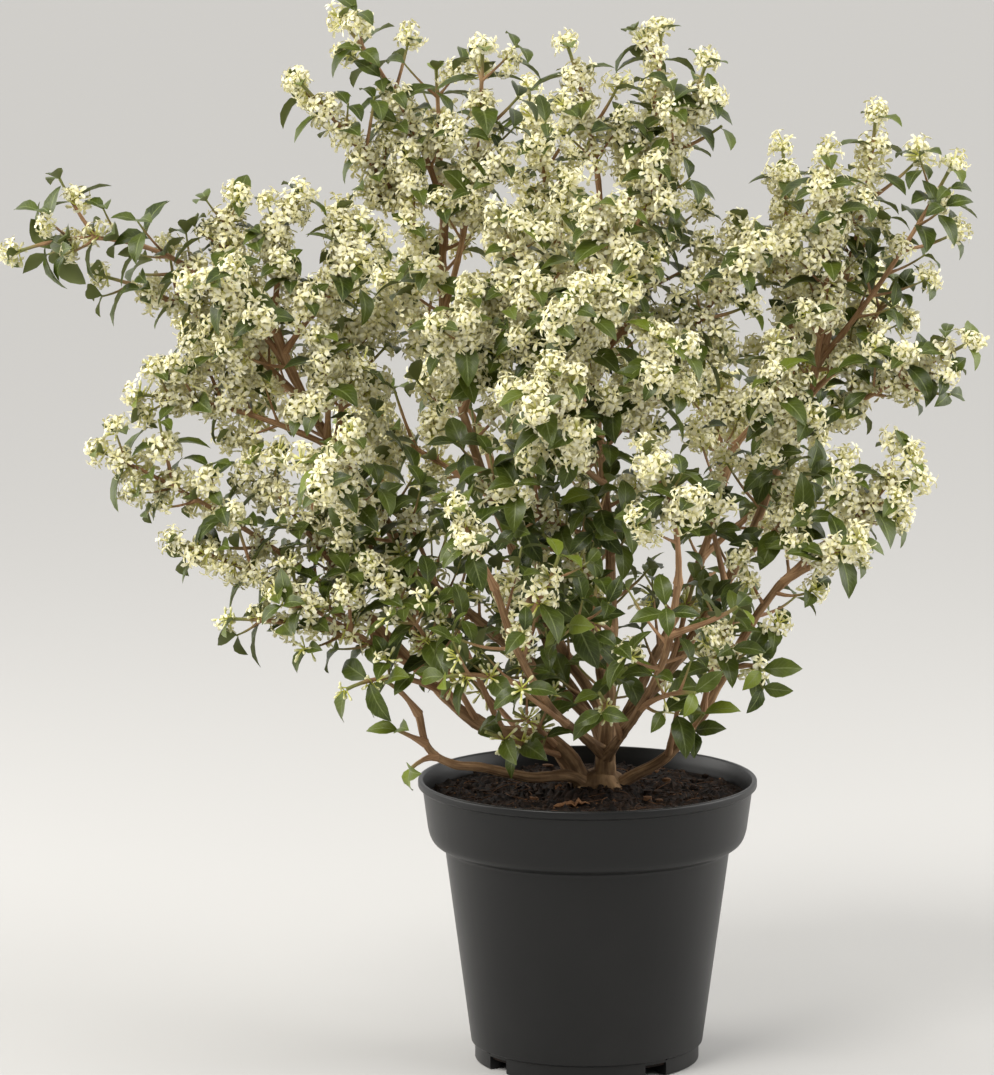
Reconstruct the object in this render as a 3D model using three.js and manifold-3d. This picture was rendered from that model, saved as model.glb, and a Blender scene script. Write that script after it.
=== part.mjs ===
// A potted burkwood osmanthus: an evergreen shrub in flower, in a plastic nursery pot.
// Millimetres, +Z up. The origin is the middle of the pot's flat underside, and the side that
// the shrub is seen from faces -Y.
//
// Four limbs rise from one root crown, and eight more fork off the centre one: the woody frame.
// Each leafy branch grows from a limb and carries side twigs, small arched leaves and heads of
// four-petalled flowers. Leaves and heads stand in pairs at the joints of each stem, each pair
// square to the next. What would touch another branch is turned aside, or left out.

import * as THREE from "three";
import { mergeVertices } from "three/addons/utils/BufferGeometryUtils.js";
import Module from "manifold-3d";

const wasm = await Module();
wasm.setup();

// The pot
const ROUND_SIDES = 20;
const POT_HEIGHT = 185;
const RIM_RADIUS = 110;
const LIP_HEIGHT = 4.5;
const COLLAR_TOP_RADIUS = 107;
const COLLAR_FOOT_RADIUS = 103.2;
const COLLAR_FOOT = 150;
const SHOULDER_RADIUS = 100;
const BODY_TOP = 140;
const BODY_TOP_RADIUS = 92.6;
const CREASE = 11.5;
const CREASE_RADIUS = 75.4;
const FOOT_RADIUS = 73;
const FOOT_RING_WIDTH = 6;
const HUB_RADIUS = 40;
const UNDERSIDE_STEP = 2;
const WALL = 1.8;
const FLOOR_TOP = 6;
const DRAIN_SLOTS = 4;
const DRAIN_FIRST_ANGLE = 37;
const DRAIN_WIDTH = 17;
const DRAIN_HEIGHT = 8.5;

// The soil, and the root crown that stands in its hole
const SEAT_GAP = 0.3;
const SOIL_EDGE = 173;
const SOIL_RISE = 4;
const SOIL_BUMP = 1.2;
const SOIL_RINGS = [46, 74];
const CROWN_CENTRE = [8, 0];
const CROWN_SIDES = 8;
const CROWN_FOOT = 130;
const CROWN_PROFILE = [[0, CROWN_FOOT], [17, CROWN_FOOT], [22, 162], [21, 178], [15, 187], [0, 192]];

// Stems
const LIMB_SIDES = 5;
const LIMB_STEP = 52;
const BRANCH_SIDES = 4;
const BRANCH_STEP = 48;
const BRANCH_RADII = [2.1, 1.1];
const BRANCH_BARE = 0.2;
const BRANCH_SPACING = 18;
const TURN_OF_AXIS = 50;
const TWIG_SIDES = 3;
const TWIG_STEP = 45;
const TWIG_RADII = [1.4, 0.9];
const TWIG_BARE = 0.35;
const TWIG_SPACING = 15;
const TWIG_START = 16;
const TWIG_GROWTH = 6;
const TWIG_LENGTH = 42;

// Leaves and flower heads
const LEAF_LENGTH = 31;
const LEAF_WIDTH_SHARE = 0.46;
const LEAF_THICKNESS = 1.3;
const LEAF_STATIONS = [[0.36, 1], [0.74, 0.72]];
const HEAD_CORE = 4;
const HEAD_REACH = 11.5;
const TIP_HEAD_REACH = 2.4;
const FLORET_RISE = 6.6;
const THROAT_RISE = 4.6;
const PETAL_REACH = 7.6;
const HEAD_RADIUS = 12.5;
const CLEARANCE = 0.7;

const DEG = Math.PI / 180;

// The limbs of the woody frame: the radius at each end, how fast the thickness goes (1 evenly,
// more: most of it low down), and points. Four rise from the root crown, and eight fork off the
// centre one.
const LIMBS = {
  left: {
    radii: [9.5, 3],
    taper: 1.5,
    points: [[4, -2, 165], [-4, -4, 182], [-13, -8, 199], [-28, -11, 213], [-57, -18, 219],
      [-80, -22, 232], [-104, -27, 257], [-128, -32, 283]],
  },
  rearLeft: {
    radii: [4.4, 2.7],
    taper: 2,
    points: [[12, -3, 206], [5, 3, 219], [-9, 12, 233], [-31, 20, 248], [-55, 22, 271],
      [-85, 18, 297], [-113, 10, 320], [-137, 0, 366], [-168, -8, 410], [-190, -12, 452],
      [-206, -12, 494]],
  },
  centre: {
    radii: [10, 2.7],
    taper: 5,
    points: [[10, -2, 165], [12, -4, 205], [15, -6, 277], [14, -10, 335], [9, -14, 392],
      [3, -16, 440], [2, -14, 492], [8, -10, 540]],
  },
  right: {
    radii: [4.6, 2.5],
    taper: 2,
    points: [[14, -3, 172], [26, -5, 185], [50, -8, 200], [71, -12, 225], [84, -12, 248],
      [99, -14, 278], [118, -16, 308], [146, -20, 338]],
  },
  lowLeft: {
    radii: [4.2, 2.3],
    taper: 1.5,
    points: [[4, -5, 178], [-12, -14, 189], [-38, -28, 191], [-66, -38, 199], [-88, -43, 203],
      [-103, -46, 214], [-109, -46, 236]],
  },
  backLeft: {
    radii: [4.4, 2.6],
    taper: 2,
    points: [[12, -2, 204], [2, 20, 222], [-22, 55, 256], [-48, 105, 315], [-66, 135, 385]],
  },
  backRight: {
    radii: [4.4, 2.6],
    taper: 2,
    points: [[13, -2, 206], [26, 18, 224], [46, 60, 256], [76, 105, 310], [98, 130, 382]],
  },
  front: {
    radii: [4, 2.3],
    taper: 2,
    points: [[12, -5, 200], [19, -24, 214], [33, -56, 242], [48, -92, 284], [55, -112, 332]],
  },
  farRight: {
    radii: [4.6, 2.7],
    taper: 2,
    points: [[14, -3, 208], [30, 10, 226], [61, 26, 262], [98, 30, 322], [122, 24, 382],
      [139, 14, 428], [152, 8, 468]],
  },
  rearCentre: {
    radii: [4.6, 2.6],
    taper: 2,
    points: [[12, -2, 212], [6, 12, 232], [-18, 30, 268], [-46, 36, 325], [-70, 34, 385],
      [-86, 30, 443], [-94, 26, 500], [-92, 22, 548]],
  },
  back: {
    radii: [4.4, 2.6],
    taper: 2,
    points: [[13, -2, 210], [11, 22, 230], [6, 62, 276], [0, 95, 350], [-4, 110, 432]],
  },
  frontLeft: {
    radii: [4, 2.3],
    taper: 2,
    points: [[11, -5, 202], [-2, -23, 216], [-24, -60, 242], [-46, -95, 286], [-60, -118, 330]],
  },
};

// The leafy branches: the limb each grows from and where on it (0 crown, 1 tip), its own tip,
// how far its middle bows from the straight line, and how freely it flowers (0 to 1).
const BRANCHES = [
  { name: "left_reach", limb: "rearLeft", at: 0.9, tip: [-366, 0, 528], bow: [10, 0, 76], bloom: 0.7 },
  { name: "left_second", limb: "rearLeft", at: 0.84, tip: [-312, 20, 510], bow: [6, 0, 26], bloom: 0.6 },
  { name: "left_crest", limb: "rearLeft", at: 1, tip: [-226, -10, 564], bow: [-26, 0, 0], bloom: 1 },
  { name: "left_mass", limb: "rearLeft", at: 0.96, tip: [-238, -62, 516], bow: [0, -16, 10], bloom: 1 },
  { name: "left_shoulder", limb: "rearLeft", at: 0.93, tip: [-146, -24, 548], bow: [6, -10, 0], bloom: 1 },
  { name: "left_middle", limb: "rearLeft", at: 0.78, tip: [-286, -16, 438], bow: [0, 0, 14], bloom: 0.8 },
  { name: "left_low_reach", limb: "left", at: 1, tip: [-312, -20, 402], bow: [0, 0, 20], bloom: 0.8 },
  { name: "left_bottom", limb: "left", at: 0.9, tip: [-228, -48, 298], bow: [0, -6, 16], bloom: 0.8 },
  { name: "left_skirt", limb: "left", at: 0.8, tip: [-154, -78, 258], bow: [0, -8, 18], bloom: 0.7 },
  { name: "left_inner", limb: "rearLeft", at: 0.66, tip: [-164, -100, 404], bow: [0, -14, -10], bloom: 0.95 },
  { name: "left_rear", limb: "rearLeft", at: 0.81, tip: [-262, 92, 470], bow: [0, 12, 20], bloom: 0.8 },
  { name: "low_left", limb: "lowLeft", at: 1, tip: [-130, -72, 262], bow: [0, 0, 6], bloom: 0.3 },
  { name: "top_first", limb: "rearCentre", at: 0.9, tip: [-184, 4, 636], bow: [16, 0, -6], bloom: 1 },
  { name: "top_second", limb: "rearCentre", at: 1, tip: [-158, 22, 674], bow: [16, 0, 6], bloom: 0.9 },
  { name: "top_third", limb: "rearCentre", at: 0.95, tip: [-98, 58, 640], bow: [0, 6, 6], bloom: 0.5 },
  { name: "top_fourth", limb: "rearCentre", at: 0.82, tip: [-68, -8, 658], bow: [12, -8, 0], bloom: 0.8 },
  { name: "top_fifth", limb: "centre", at: 1, tip: [-14, -20, 662], bow: [10, 0, 0], bloom: 0.95 },
  { name: "top_sixth", limb: "centre", at: 0.94, tip: [46, 14, 668], bow: [-8, 0, 0], bloom: 0.95 },
  { name: "top_seventh", limb: "centre", at: 0.88, tip: [74, -14, 650], bow: [8, 0, -12], bloom: 0.7 },
  { name: "top_front", limb: "centre", at: 0.82, tip: [18, -62, 560], bow: [0, -10, -10], bloom: 0.9 },
  { name: "top_rear", limb: "back", at: 1, tip: [-38, 112, 622], bow: [0, 14, 0], bloom: 0.9 },
  { name: "right_tuft", limb: "centre", at: 0.76, tip: [54, 16, 560], bow: [14, 6, -16], bloom: 0.3 },
  { name: "right_fan", limb: "centre", at: 0.66, tip: [102, -22, 540], bow: [10, -6, -20], bloom: 0.8 },
  { name: "right_upright", limb: "farRight", at: 0.78, tip: [126, 44, 590], bow: [0, 8, 0], bloom: 0.9 },
  { name: "right_top_first", limb: "farRight", at: 1, tip: [183, 2, 614], bow: [10, 0, 0], bloom: 1 },
  { name: "right_top_second", limb: "farRight", at: 0.95, tip: [230, -16, 584], bow: [0, 0, -16], bloom: 1 },
  { name: "right_top_third", limb: "farRight", at: 0.9, tip: [150, -36, 594], bow: [10, -8, 0], bloom: 1 },
  { name: "right_reach", limb: "farRight", at: 0.74, tip: [241, -30, 473], bow: [0, -6, 2], bloom: 0.9 },
  { name: "right_side_tuft", limb: "farRight", at: 0.85, tip: [198, 28, 506], bow: [6, 4, -10], bloom: 0.5 },
  { name: "right_low_reach", limb: "right", at: 1, tip: [204, -44, 402], bow: [0, 0, -10], bloom: 1 },
  { name: "right_low_front", limb: "right", at: 0.9, tip: [168, -78, 354], bow: [0, -6, 0], bloom: 0.8 },
  { name: "right_bottom", limb: "right", at: 0.62, tip: [110, -66, 268], bow: [4, -6, 8], bloom: 0.4 },
  { name: "right_middle", limb: "farRight", at: 0.66, tip: [116, -58, 456], bow: [10, -14, -10], bloom: 1 },
  { name: "right_rear", limb: "backRight", at: 1, tip: [196, 112, 480], bow: [0, 10, 10], bloom: 0.9 },
  { name: "right_back", limb: "backRight", at: 0.76, tip: [172, 150, 372], bow: [0, 6, 10], bloom: 0.7 },
  { name: "front_first", limb: "rearCentre", at: 0.7, tip: [-78, -78, 492], bow: [0, -16, -20], bloom: 1 },
  { name: "front_second", limb: "centre", at: 0.71, tip: [-6, -104, 516], bow: [0, -14, -14], bloom: 1 },
  { name: "front_third", limb: "centre", at: 0.54, tip: [-36, -128, 456], bow: [0, -14, -14], bloom: 1 },
  { name: "front_fourth", limb: "centre", at: 0.6, tip: [44, -100, 486], bow: [6, -14, -14], bloom: 0.9 },
  { name: "front_fifth", limb: "frontLeft", at: 1, tip: [-84, -142, 384], bow: [0, -4, 0], bloom: 0.6 },
  { name: "front_sixth", limb: "front", at: 1, tip: [42, -148, 410], bow: [8, -6, 0], bloom: 0.6 },
  { name: "front_seventh", limb: "frontLeft", at: 0.8, tip: [-20, -128, 352], bow: [6, -10, 0], bloom: 0.3 },
  { name: "front_eighth", limb: "front", at: 0.82, tip: [92, -118, 318], bow: [6, -6, 0], bloom: 0.3 },
  { name: "low_centre", limb: "centre", at: 0.3, tip: [-14, -96, 302], bow: [0, -14, 12], bloom: 0.2 },
  { name: "low_front", limb: "frontLeft", at: 0.56, tip: [-92, -112, 272], bow: [0, -6, 14], bloom: 0.3 },
  { name: "low_inner", limb: "left", at: 0.66, tip: [-118, -84, 312], bow: [0, -8, 8], bloom: 0.5 },
  { name: "low_right", limb: "right", at: 0.46, tip: [92, -70, 304], bow: [-6, -14, 8], bloom: 0.2 },
  { name: "low_right_front", limb: "front", at: 0.5, tip: [66, -112, 262], bow: [0, -6, 8], bloom: 0.2 },
  { name: "low_rear_left", limb: "rearLeft", at: 0.42, tip: [-128, 62, 282], bow: [0, 10, 6], bloom: 0.3 },
  { name: "low_rear_right", limb: "backRight", at: 0.5, tip: [112, 96, 272], bow: [6, 0, 8], bloom: 0.3 },
  { name: "low_back", limb: "back", at: 0.44, tip: [-18, 150, 292], bow: [0, 8, 8], bloom: 0.3 },
  { name: "middle_right", limb: "farRight", at: 0.5, tip: [134, -28, 372], bow: [6, -10, 0], bloom: 0.5 },
  { name: "back_first", limb: "backLeft", at: 1, tip: [-134, 166, 500], bow: [0, 10, 10], bloom: 0.9 },
  { name: "back_second", limb: "backLeft", at: 0.86, tip: [-158, 172, 396], bow: [0, 8, 10], bloom: 0.8 },
  { name: "back_third", limb: "back", at: 0.93, tip: [18, 184, 524], bow: [0, 16, 0], bloom: 0.9 },
  { name: "back_fourth", limb: "back", at: 0.78, tip: [-26, 204, 390], bow: [0, 12, 4], bloom: 0.7 },
  { name: "back_fifth", limb: "backRight", at: 0.9, tip: [92, 196, 446], bow: [0, 12, 4], bloom: 0.8 },
];

const COLOURS = {
  pot: { color: 0x2f3133, roughness: 0.5, metalness: 0 },
  soil: { color: 0x2c1f18, roughness: 1, metalness: 0 },
  bark: { color: 0x8a6242, roughness: 0.85, metalness: 0 },
  foliage: { color: 0x4a6330, roughness: 0.45, metalness: 0 },
};

// Repeatable chance: a number from 0 to 1 that depends only on its keys.

function chance(branch, axis, joint, draw) {
  const wave = Math.sin(branch * 12.9898 + axis * 78.233 + joint * 37.719 + draw * 4.581) * 43758.5453;
  return wave - Math.floor(wave);
}

// Stems as curves

const vec = (p) => new THREE.Vector3(p[0], p[1], p[2]);

function curveLength(curve, steps) {
  let length = 0;
  let last = curve.getPoint(0);
  for (let i = 1; i <= steps; i++) {
    const next = curve.getPoint(i / steps);
    length += next.distanceTo(last);
    last = next;
  }
  return length;
}

// The curve's direction at t, and two directions square to it.
function frameAt(curve, t) {
  const step = 0.01;
  const along = curve.getPoint(Math.min(1, t + step)).sub(curve.getPoint(Math.max(0, t - step))).normalize();
  const chord = curve.getPoint(1).sub(curve.getPoint(0)).normalize();
  const reference = Math.abs(chord.y) < 0.7 ? new THREE.Vector3(0, -1, 0) : new THREE.Vector3(1, 0, 0);
  const out = reference.addScaledVector(along, -reference.dot(along)).normalize();
  return { along, out, across: along.clone().cross(out) };
}

function sideways(frame, angle) {
  return frame.out.clone().multiplyScalar(Math.cos(angle)).addScaledVector(frame.across, Math.sin(angle));
}

function axisOf(curve, radii, sides, step, turn = 0) {
  const length = curveLength(curve, 32);
  return { curve, radii, sides, length, turn, steps: Math.max(1, Math.round(length / step)) };
}

// The space already taken, as balls that each belong to one branch or to the woody frame

const FRAME_OWNER = -1;
const BALL_STEP = 5;
const taken = [];

function isClear(balls, owner) {
  return balls.every((ball) =>
    taken.every((other) => other.owner === owner
      || ball.centre.distanceTo(other.centre) > ball.radius + other.radius + CLEARANCE));
}

function take(balls, owner) {
  for (const ball of balls) taken.push({ ...ball, owner });
}

// The room that a stem keeps for itself, which is that of an even taper
function stemBalls(axis) {
  const count = Math.ceil(axis.length / BALL_STEP);
  return Array.from({ length: count + 1 }, (_, i) => ({
    centre: axis.curve.getPoint(i / count),
    radius: THREE.MathUtils.lerp(axis.radii[0], axis.radii[1], i / count) + 0.8,
  }));
}

// The first of some tries that clears every other branch, or nothing
function placeFirst(tries, make, ballsOf, owner) {
  for (const nudge of tries) {
    const made = make(nudge);
    if (!isClear(ballsOf(made), owner)) continue;
    take(ballsOf(made), owner);
    return made;
  }
  return null;
}

const limbs = {};
for (const [name, { radii, taper, points }] of Object.entries(LIMBS)) {
  const curve = new THREE.CatmullRomCurve3(points.map(vec), false, "catmullrom", 0.5);
  limbs[name] = { ...axisOf(curve, radii, LIMB_SIDES, LIMB_STEP), taper };
  take(stemBalls(limbs[name]), FRAME_OWNER);
}

// A branch's own axis bows smoothly from its limb to its tip. The bow is turned aside where the
// branch would meet another, apart from the stretch where it leaves its limb.
const BOW_TRIES = [[0, 0], [0, -14], [14, 0], [-14, 0], [0, 14], [0, -28], [28, 0], [-28, 0], [0, 28]];
const BRANCH_ROOT = 22;

function mainAxis({ limb, at, tip, bow }, index, nudge) {
  const start = limbs[limb].curve.getPoint(at);
  const end = vec(tip);
  const middle = start.clone().add(end).multiplyScalar(0.5).add(vec(bow));
  middle.x += nudge[0];
  middle.y += nudge[1];
  const curve = new THREE.QuadraticBezierCurve3(start, middle, end);
  const axis = axisOf(curve, BRANCH_RADII, BRANCH_SIDES, BRANCH_STEP, TURN_OF_AXIS * chance(index, 0, 0, 4));
  return { ...axis, id: 0, spacing: BRANCH_SPACING, bare: BRANCH_BARE };
}

const freeBalls = (axis) => stemBalls(axis).slice(Math.ceil(BRANCH_ROOT / BALL_STEP));

const branches = BRANCHES.map((plan, index) => {
  const main = placeFirst(BOW_TRIES, (nudge) => mainAxis(plan, index, nudge), freeBalls, index);
  if (!main) throw new Error(`branch ${plan.name} finds no clear way`);
  return { ...plan, index, axes: [main], leaves: [], heads: [] };
});

// How far along its stem a joint sits: joint 0 is at the tip.
const jointAt = (axis, joint) => Math.max(0.02, 1 - (joint * axis.spacing + 2) / axis.length);
const jointCount = (axis) => Math.max(1, Math.floor((axis.length * (1 - axis.bare)) / axis.spacing));

// Side twigs leave at 50 degrees, on turning sides, and grow longer down the branch.
const TWIG_TRIES = [0, 45, -45, 90, -90, 135];

function twigAxis(main, index, id, turn, length) {
  const t = jointAt(main, id);
  const frame = frameAt(main.curve, t);
  const start = main.curve.getPoint(t);
  const heading = frame.along.clone().multiplyScalar(0.64).addScaledVector(sideways(frame, turn), 0.77);
  const end = start.clone().addScaledVector(heading, length);
  end.z += 0.2 * length;
  const middle = start.clone().addScaledVector(heading, 0.5 * length);
  const curve = new THREE.QuadraticBezierCurve3(start, middle, end);
  const axis = axisOf(curve, TWIG_RADII, TWIG_SIDES, TWIG_STEP, TURN_OF_AXIS * chance(index, id, 0, 4));
  return { ...axis, id, spacing: TWIG_SPACING, bare: TWIG_BARE };
}

const TWIG_FIRST_JOINT = 3;
const TWIG_EVERY = 4;
const CLEAR_OF_TWIG = 4;

function growTwigs(branch) {
  const main = branch.axes[0];
  for (let joint = TWIG_FIRST_JOINT; joint < jointCount(main); joint += TWIG_EVERY) {
    const draw = (n) => chance(branch.index, 0, joint, n);
    const turn = 137.5 * joint + 60 * draw(1);
    const length = Math.min(TWIG_LENGTH, TWIG_START + TWIG_GROWTH * joint) * (0.8 + 0.4 * draw(2));
    const wide = (axis) => stemBalls(axis).map((ball) => ({ ...ball, radius: ball.radius + CLEAR_OF_TWIG }));
    const make = (nudge) => twigAxis(main, branch.index, joint, (turn + nudge) * DEG, length);
    const twig = placeFirst(TWIG_TRIES, make, wide, branch.index);
    if (twig) branch.axes.push(twig);
  }
}
branches.forEach(growTwigs);

// Where a leaf or a head at a joint looks, in degrees round the stem
const LEAF_WANDER = 30;
const turnAt = (axis, joint, side, draw) => axis.turn + 90 * joint + 180 * side + LEAF_WANDER * (draw - 0.5);

// A flower head: the way it faces, a direction square to that, its middle, and its foot inside
// the stem. A head at a tip has no foot, because the stem runs on into it.
const HEAD_TRIES = [0, 30, -30, 60, -60, 90];

function headAt(branch, axis, joint, side, nudge) {
  const draw = (n) => chance(branch.index, axis.id, joint + 0.5 * side, n);
  const tip = joint === 0;
  const t = tip ? 1 : jointAt(axis, joint);
  const frame = frameAt(axis.curve, t);
  const turn = (turnAt(axis, joint, side, draw(8)) + nudge) * DEG;
  const way = tip
    ? frame.along.clone()
    : frame.along.clone().multiplyScalar(0.45).addScaledVector(sideways(frame, turn), 0.9).normalize();
  const square = sideways(frame, turn + 0.5 * Math.PI);
  const foot = axis.curve.getPoint(t);
  const size = 0.9 + 0.2 * draw(9);
  const middle = foot.clone().addScaledVector(way, (tip ? TIP_HEAD_REACH : HEAD_REACH) * size);
  return { foot: tip ? null : foot, way, square, middle, size, spin: 0.5 * Math.PI * draw(10) };
}

const headBalls = (head) => [{ centre: head.middle, radius: HEAD_RADIUS * head.size }];

// A leaf: its foot on the stem, the way its rib sets out, the way its upper face looks, its
// length, and how far it arches over, in radians.
const LEAF_TRIES = [0, 24, -24, 48, -48, 72];
const TUFT_LEAN = 36;
const LEAF_LEAN = 62;

function leafAt(branch, axis, joint, side, nudge) {
  const draw = (n) => chance(branch.index, axis.id, joint + 0.5 * side, n);
  const t = jointAt(axis, joint);
  const frame = frameAt(axis.curve, t);
  const outward = sideways(frame, (turnAt(axis, joint, side, draw(3)) + nudge) * DEG);
  const lean = (joint === 0 ? TUFT_LEAN + 30 * branch.bloom : LEAF_LEAN + 16 * draw(5)) * DEG;
  const rib = frame.along.clone().multiplyScalar(Math.cos(lean)).addScaledVector(outward, Math.sin(lean));
  const face = frame.along.clone().multiplyScalar(Math.sin(lean)).addScaledVector(outward, -Math.cos(lean));
  face.z += 0.7;
  face.addScaledVector(rib, -face.dot(rib)).normalize();
  const youth = joint === 0 ? 0.8 : 1;
  const length = LEAF_LENGTH * youth * (0.82 + 0.36 * draw(7));
  return { foot: axis.curve.getPoint(t), rib, face, length, arch: 0.7 + 0.7 * draw(6) };
}

// The rib is an arc of a circle: it sets out along rib and bends away from face.
function ribPoint(leaf, share) {
  const bend = leaf.arch * share;
  const reach = leaf.length / leaf.arch;
  return leaf.foot.clone()
    .addScaledVector(leaf.rib, reach * Math.sin(bend))
    .addScaledVector(leaf.face, -reach * (1 - Math.cos(bend)));
}

const LEAF_BALLS = [[0.35, 0.265], [0.65, 0.25], [0.92, 0.14]];
const leafBalls = (leaf) => LEAF_BALLS.map(([share, size]) => ({
  centre: ribPoint(leaf, share), radius: size * leaf.length,
}));

// Heads sit on flowering tips and then at every sixth joint of a branch's own stem. Leaves come
// in a pair at each tip, or under its head, and then at every fifth place.
const HEAD_EVERY = 6;
const LEAF_EVERY = 5;
const TIP_BLOOM = 0.55;
const TWIG_BLOOM = 0.62;
const STEM_BLOOM = 0.5;

function hasHead(branch, axis, joint, side) {
  if (joint === 0 && axis.id === 0) return side === 0 && branch.bloom > TIP_BLOOM;
  if (joint === 0) return side === 0 && chance(branch.index, axis.id, 0, 11) < TWIG_BLOOM * branch.bloom;
  return axis.id === 0 && joint % HEAD_EVERY === 3 && side === (branch.index + joint) % 2
    && chance(branch.index, 0, joint, 11) < STEM_BLOOM * branch.bloom;
}

function hasLeaf(branch, axis, joint, side) {
  const pairJoint = hasHead(branch, axis, 0, 0) ? 1 : 0;
  if (joint <= pairJoint) return joint === pairJoint && (side === 0 || axis.id === 0);
  return (2 * joint + side + axis.id) % LEAF_EVERY === 0 && !hasHead(branch, axis, joint, side);
}

function grow(branch, wants, tries, makeAt, ballsOf, into) {
  for (const axis of branch.axes) {
    for (let joint = 0; joint < jointCount(axis); joint++) {
      for (const side of [0, 1]) {
        if (!wants(branch, axis, joint, side)) continue;
        const make = (nudge) => makeAt(branch, axis, joint, side, nudge);
        const made = placeFirst(tries, make, ballsOf, branch.index);
        if (made) into.push(made);
      }
    }
  }
}
for (const branch of branches) grow(branch, hasHead, HEAD_TRIES, headAt, headBalls, branch.heads);
for (const branch of branches) grow(branch, hasLeaf, LEAF_TRIES, leafAt, leafBalls, branch.leaves);

// Solids

function solidOf(points, triangles) {
  const vertProperties = new Float32Array(points.flatMap((p) => [p.x, p.y, p.z]));
  const triVerts = new Uint32Array(triangles.flat());
  return new wasm.Manifold(new wasm.Mesh({ numProp: 3, vertProperties, triVerts }));
}

function solidOfGeometry(geometry) {
  const bare = geometry.clone();
  bare.deleteAttribute("normal");
  bare.deleteAttribute("uv");
  const merged = mergeVertices(bare, 1e-3);
  return new wasm.Manifold(new wasm.Mesh({
    numProp: 3,
    vertProperties: new Float32Array(merged.attributes.position.array),
    triVerts: new Uint32Array(merged.index.array),
  }));
}

function geometryOf(solid) {
  const { numProp, vertProperties, triVerts } = solid.getMesh();
  const positions = new Float32Array((vertProperties.length / numProp) * 3);
  for (let i = 0; i * numProp < vertProperties.length; i++) {
    positions.set(vertProperties.subarray(i * numProp, i * numProp + 3), i * 3);
  }
  const geometry = new THREE.BufferGeometry();
  geometry.setAttribute("position", new THREE.BufferAttribute(positions, 3));
  geometry.setIndex(new THREE.BufferAttribute(new Uint32Array(triVerts), 1));
  geometry.computeVertexNormals();
  return geometry;
}

// A profile of [radius, height] points, from the axis round to the axis, spun about Z
function turned(profile, sides, centre = [0, 0]) {
  const geometry = new THREE.LatheGeometry(profile.map(([r, z]) => new THREE.Vector2(r, z)), sides);
  geometry.rotateX(0.5 * Math.PI);
  geometry.translate(centre[0], centre[1], 0);
  return solidOfGeometry(geometry);
}

// A stem's radius at t. A branch or a twig tapers evenly, and a limb in its own way.
const radiusAt = ({ radii, taper = 1 }, t) => radii[1] + (radii[0] - radii[1]) * (1 - t) ** taper;

// A tapered tube along an axis, with a ring of corners at each step and a cap at each end
function stemSolid(axis, thicker = 0) {
  const points = [];
  const triangles = [];
  const { sides, steps } = axis;
  for (let i = 0; i <= steps; i++) {
    const t = i / steps;
    const frame = frameAt(axis.curve, t);
    const radius = radiusAt(axis, t) + thicker;
    for (let j = 0; j < sides; j++) {
      const angle = axis.turn * DEG + (2 * Math.PI * (j + 0.5)) / sides;
      points.push(axis.curve.getPoint(t).addScaledVector(sideways(frame, angle), radius));
    }
  }
  for (let i = 0; i < steps; i++) {
    for (let j = 0; j < sides; j++) {
      const a = i * sides + j;
      const b = i * sides + ((j + 1) % sides);
      triangles.push([a, b, b + sides], [a, b + sides, a + sides]);
    }
  }
  const last = steps * sides;
  for (let j = 1; j < sides - 1; j++) {
    triangles.push([0, j + 1, j], [last, last + j, last + j + 1]);
  }
  return solidOf(points, triangles);
}

// A leaf blade in two stations between foot and tip: flat above, with a keel under the rib
function leafSolid(leaf) {
  const across = leaf.rib.clone().cross(leaf.face);
  const points = [leaf.foot];
  for (const [share, width] of LEAF_STATIONS) {
    const bend = leaf.arch * share;
    const up = leaf.face.clone().multiplyScalar(Math.cos(bend)).addScaledVector(leaf.rib, Math.sin(bend));
    const middle = ribPoint(leaf, share);
    const half = 0.5 * width * LEAF_WIDTH_SHARE * leaf.length;
    points.push(
      middle.clone().addScaledVector(across, -half),
      middle.clone().addScaledVector(across, half),
      middle.clone().addScaledVector(up, -LEAF_THICKNESS),
    );
  }
  points.push(ribPoint(leaf, 1));
  const tip = points.length - 1;
  const triangles = [];
  for (let j = 0; j < 3; j++) {
    const next = (j + 1) % 3;
    triangles.push([0, 1 + next, 1 + j], [tip, 4 + j, 4 + next]);
    triangles.push([1 + j, 1 + next, 4 + next], [1 + j, 4 + next, 4 + j]);
  }
  return solidOf(points, triangles);
}

// A flower head: a small cube, drawn back to a point in the stem where it isn't at a tip. The
// front and three sides carry a floret of four petals each, and the fourth side is plain. Each
// petal rises from one edge of its face.
const FLORET_FACES = [
  [[1, 0, 0], [0, 1, 0], [0, 0, 1]],
  [[0, 1, 0], [0, 0, 1], [1, 0, 0]],
  [[0, -1, 0], [1, 0, 0], [0, 0, 1]],
  [[0, 0, 1], [1, 0, 0], [0, 1, 0]],
];
const PLAIN_FACE = [[-1, -1, -1], [-1, 1, -1], [1, 1, -1], [1, -1, -1]];
const BACK_FACE = [[-1, -1, -1], [-1, -1, 1], [-1, 1, 1], [-1, 1, -1]];
const SQUARE = [[-1, -1], [1, -1], [1, 1], [-1, 1]];
const PETAL_WAYS = [[0, -1], [1, 0], [0, 1], [-1, 0]];

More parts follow.
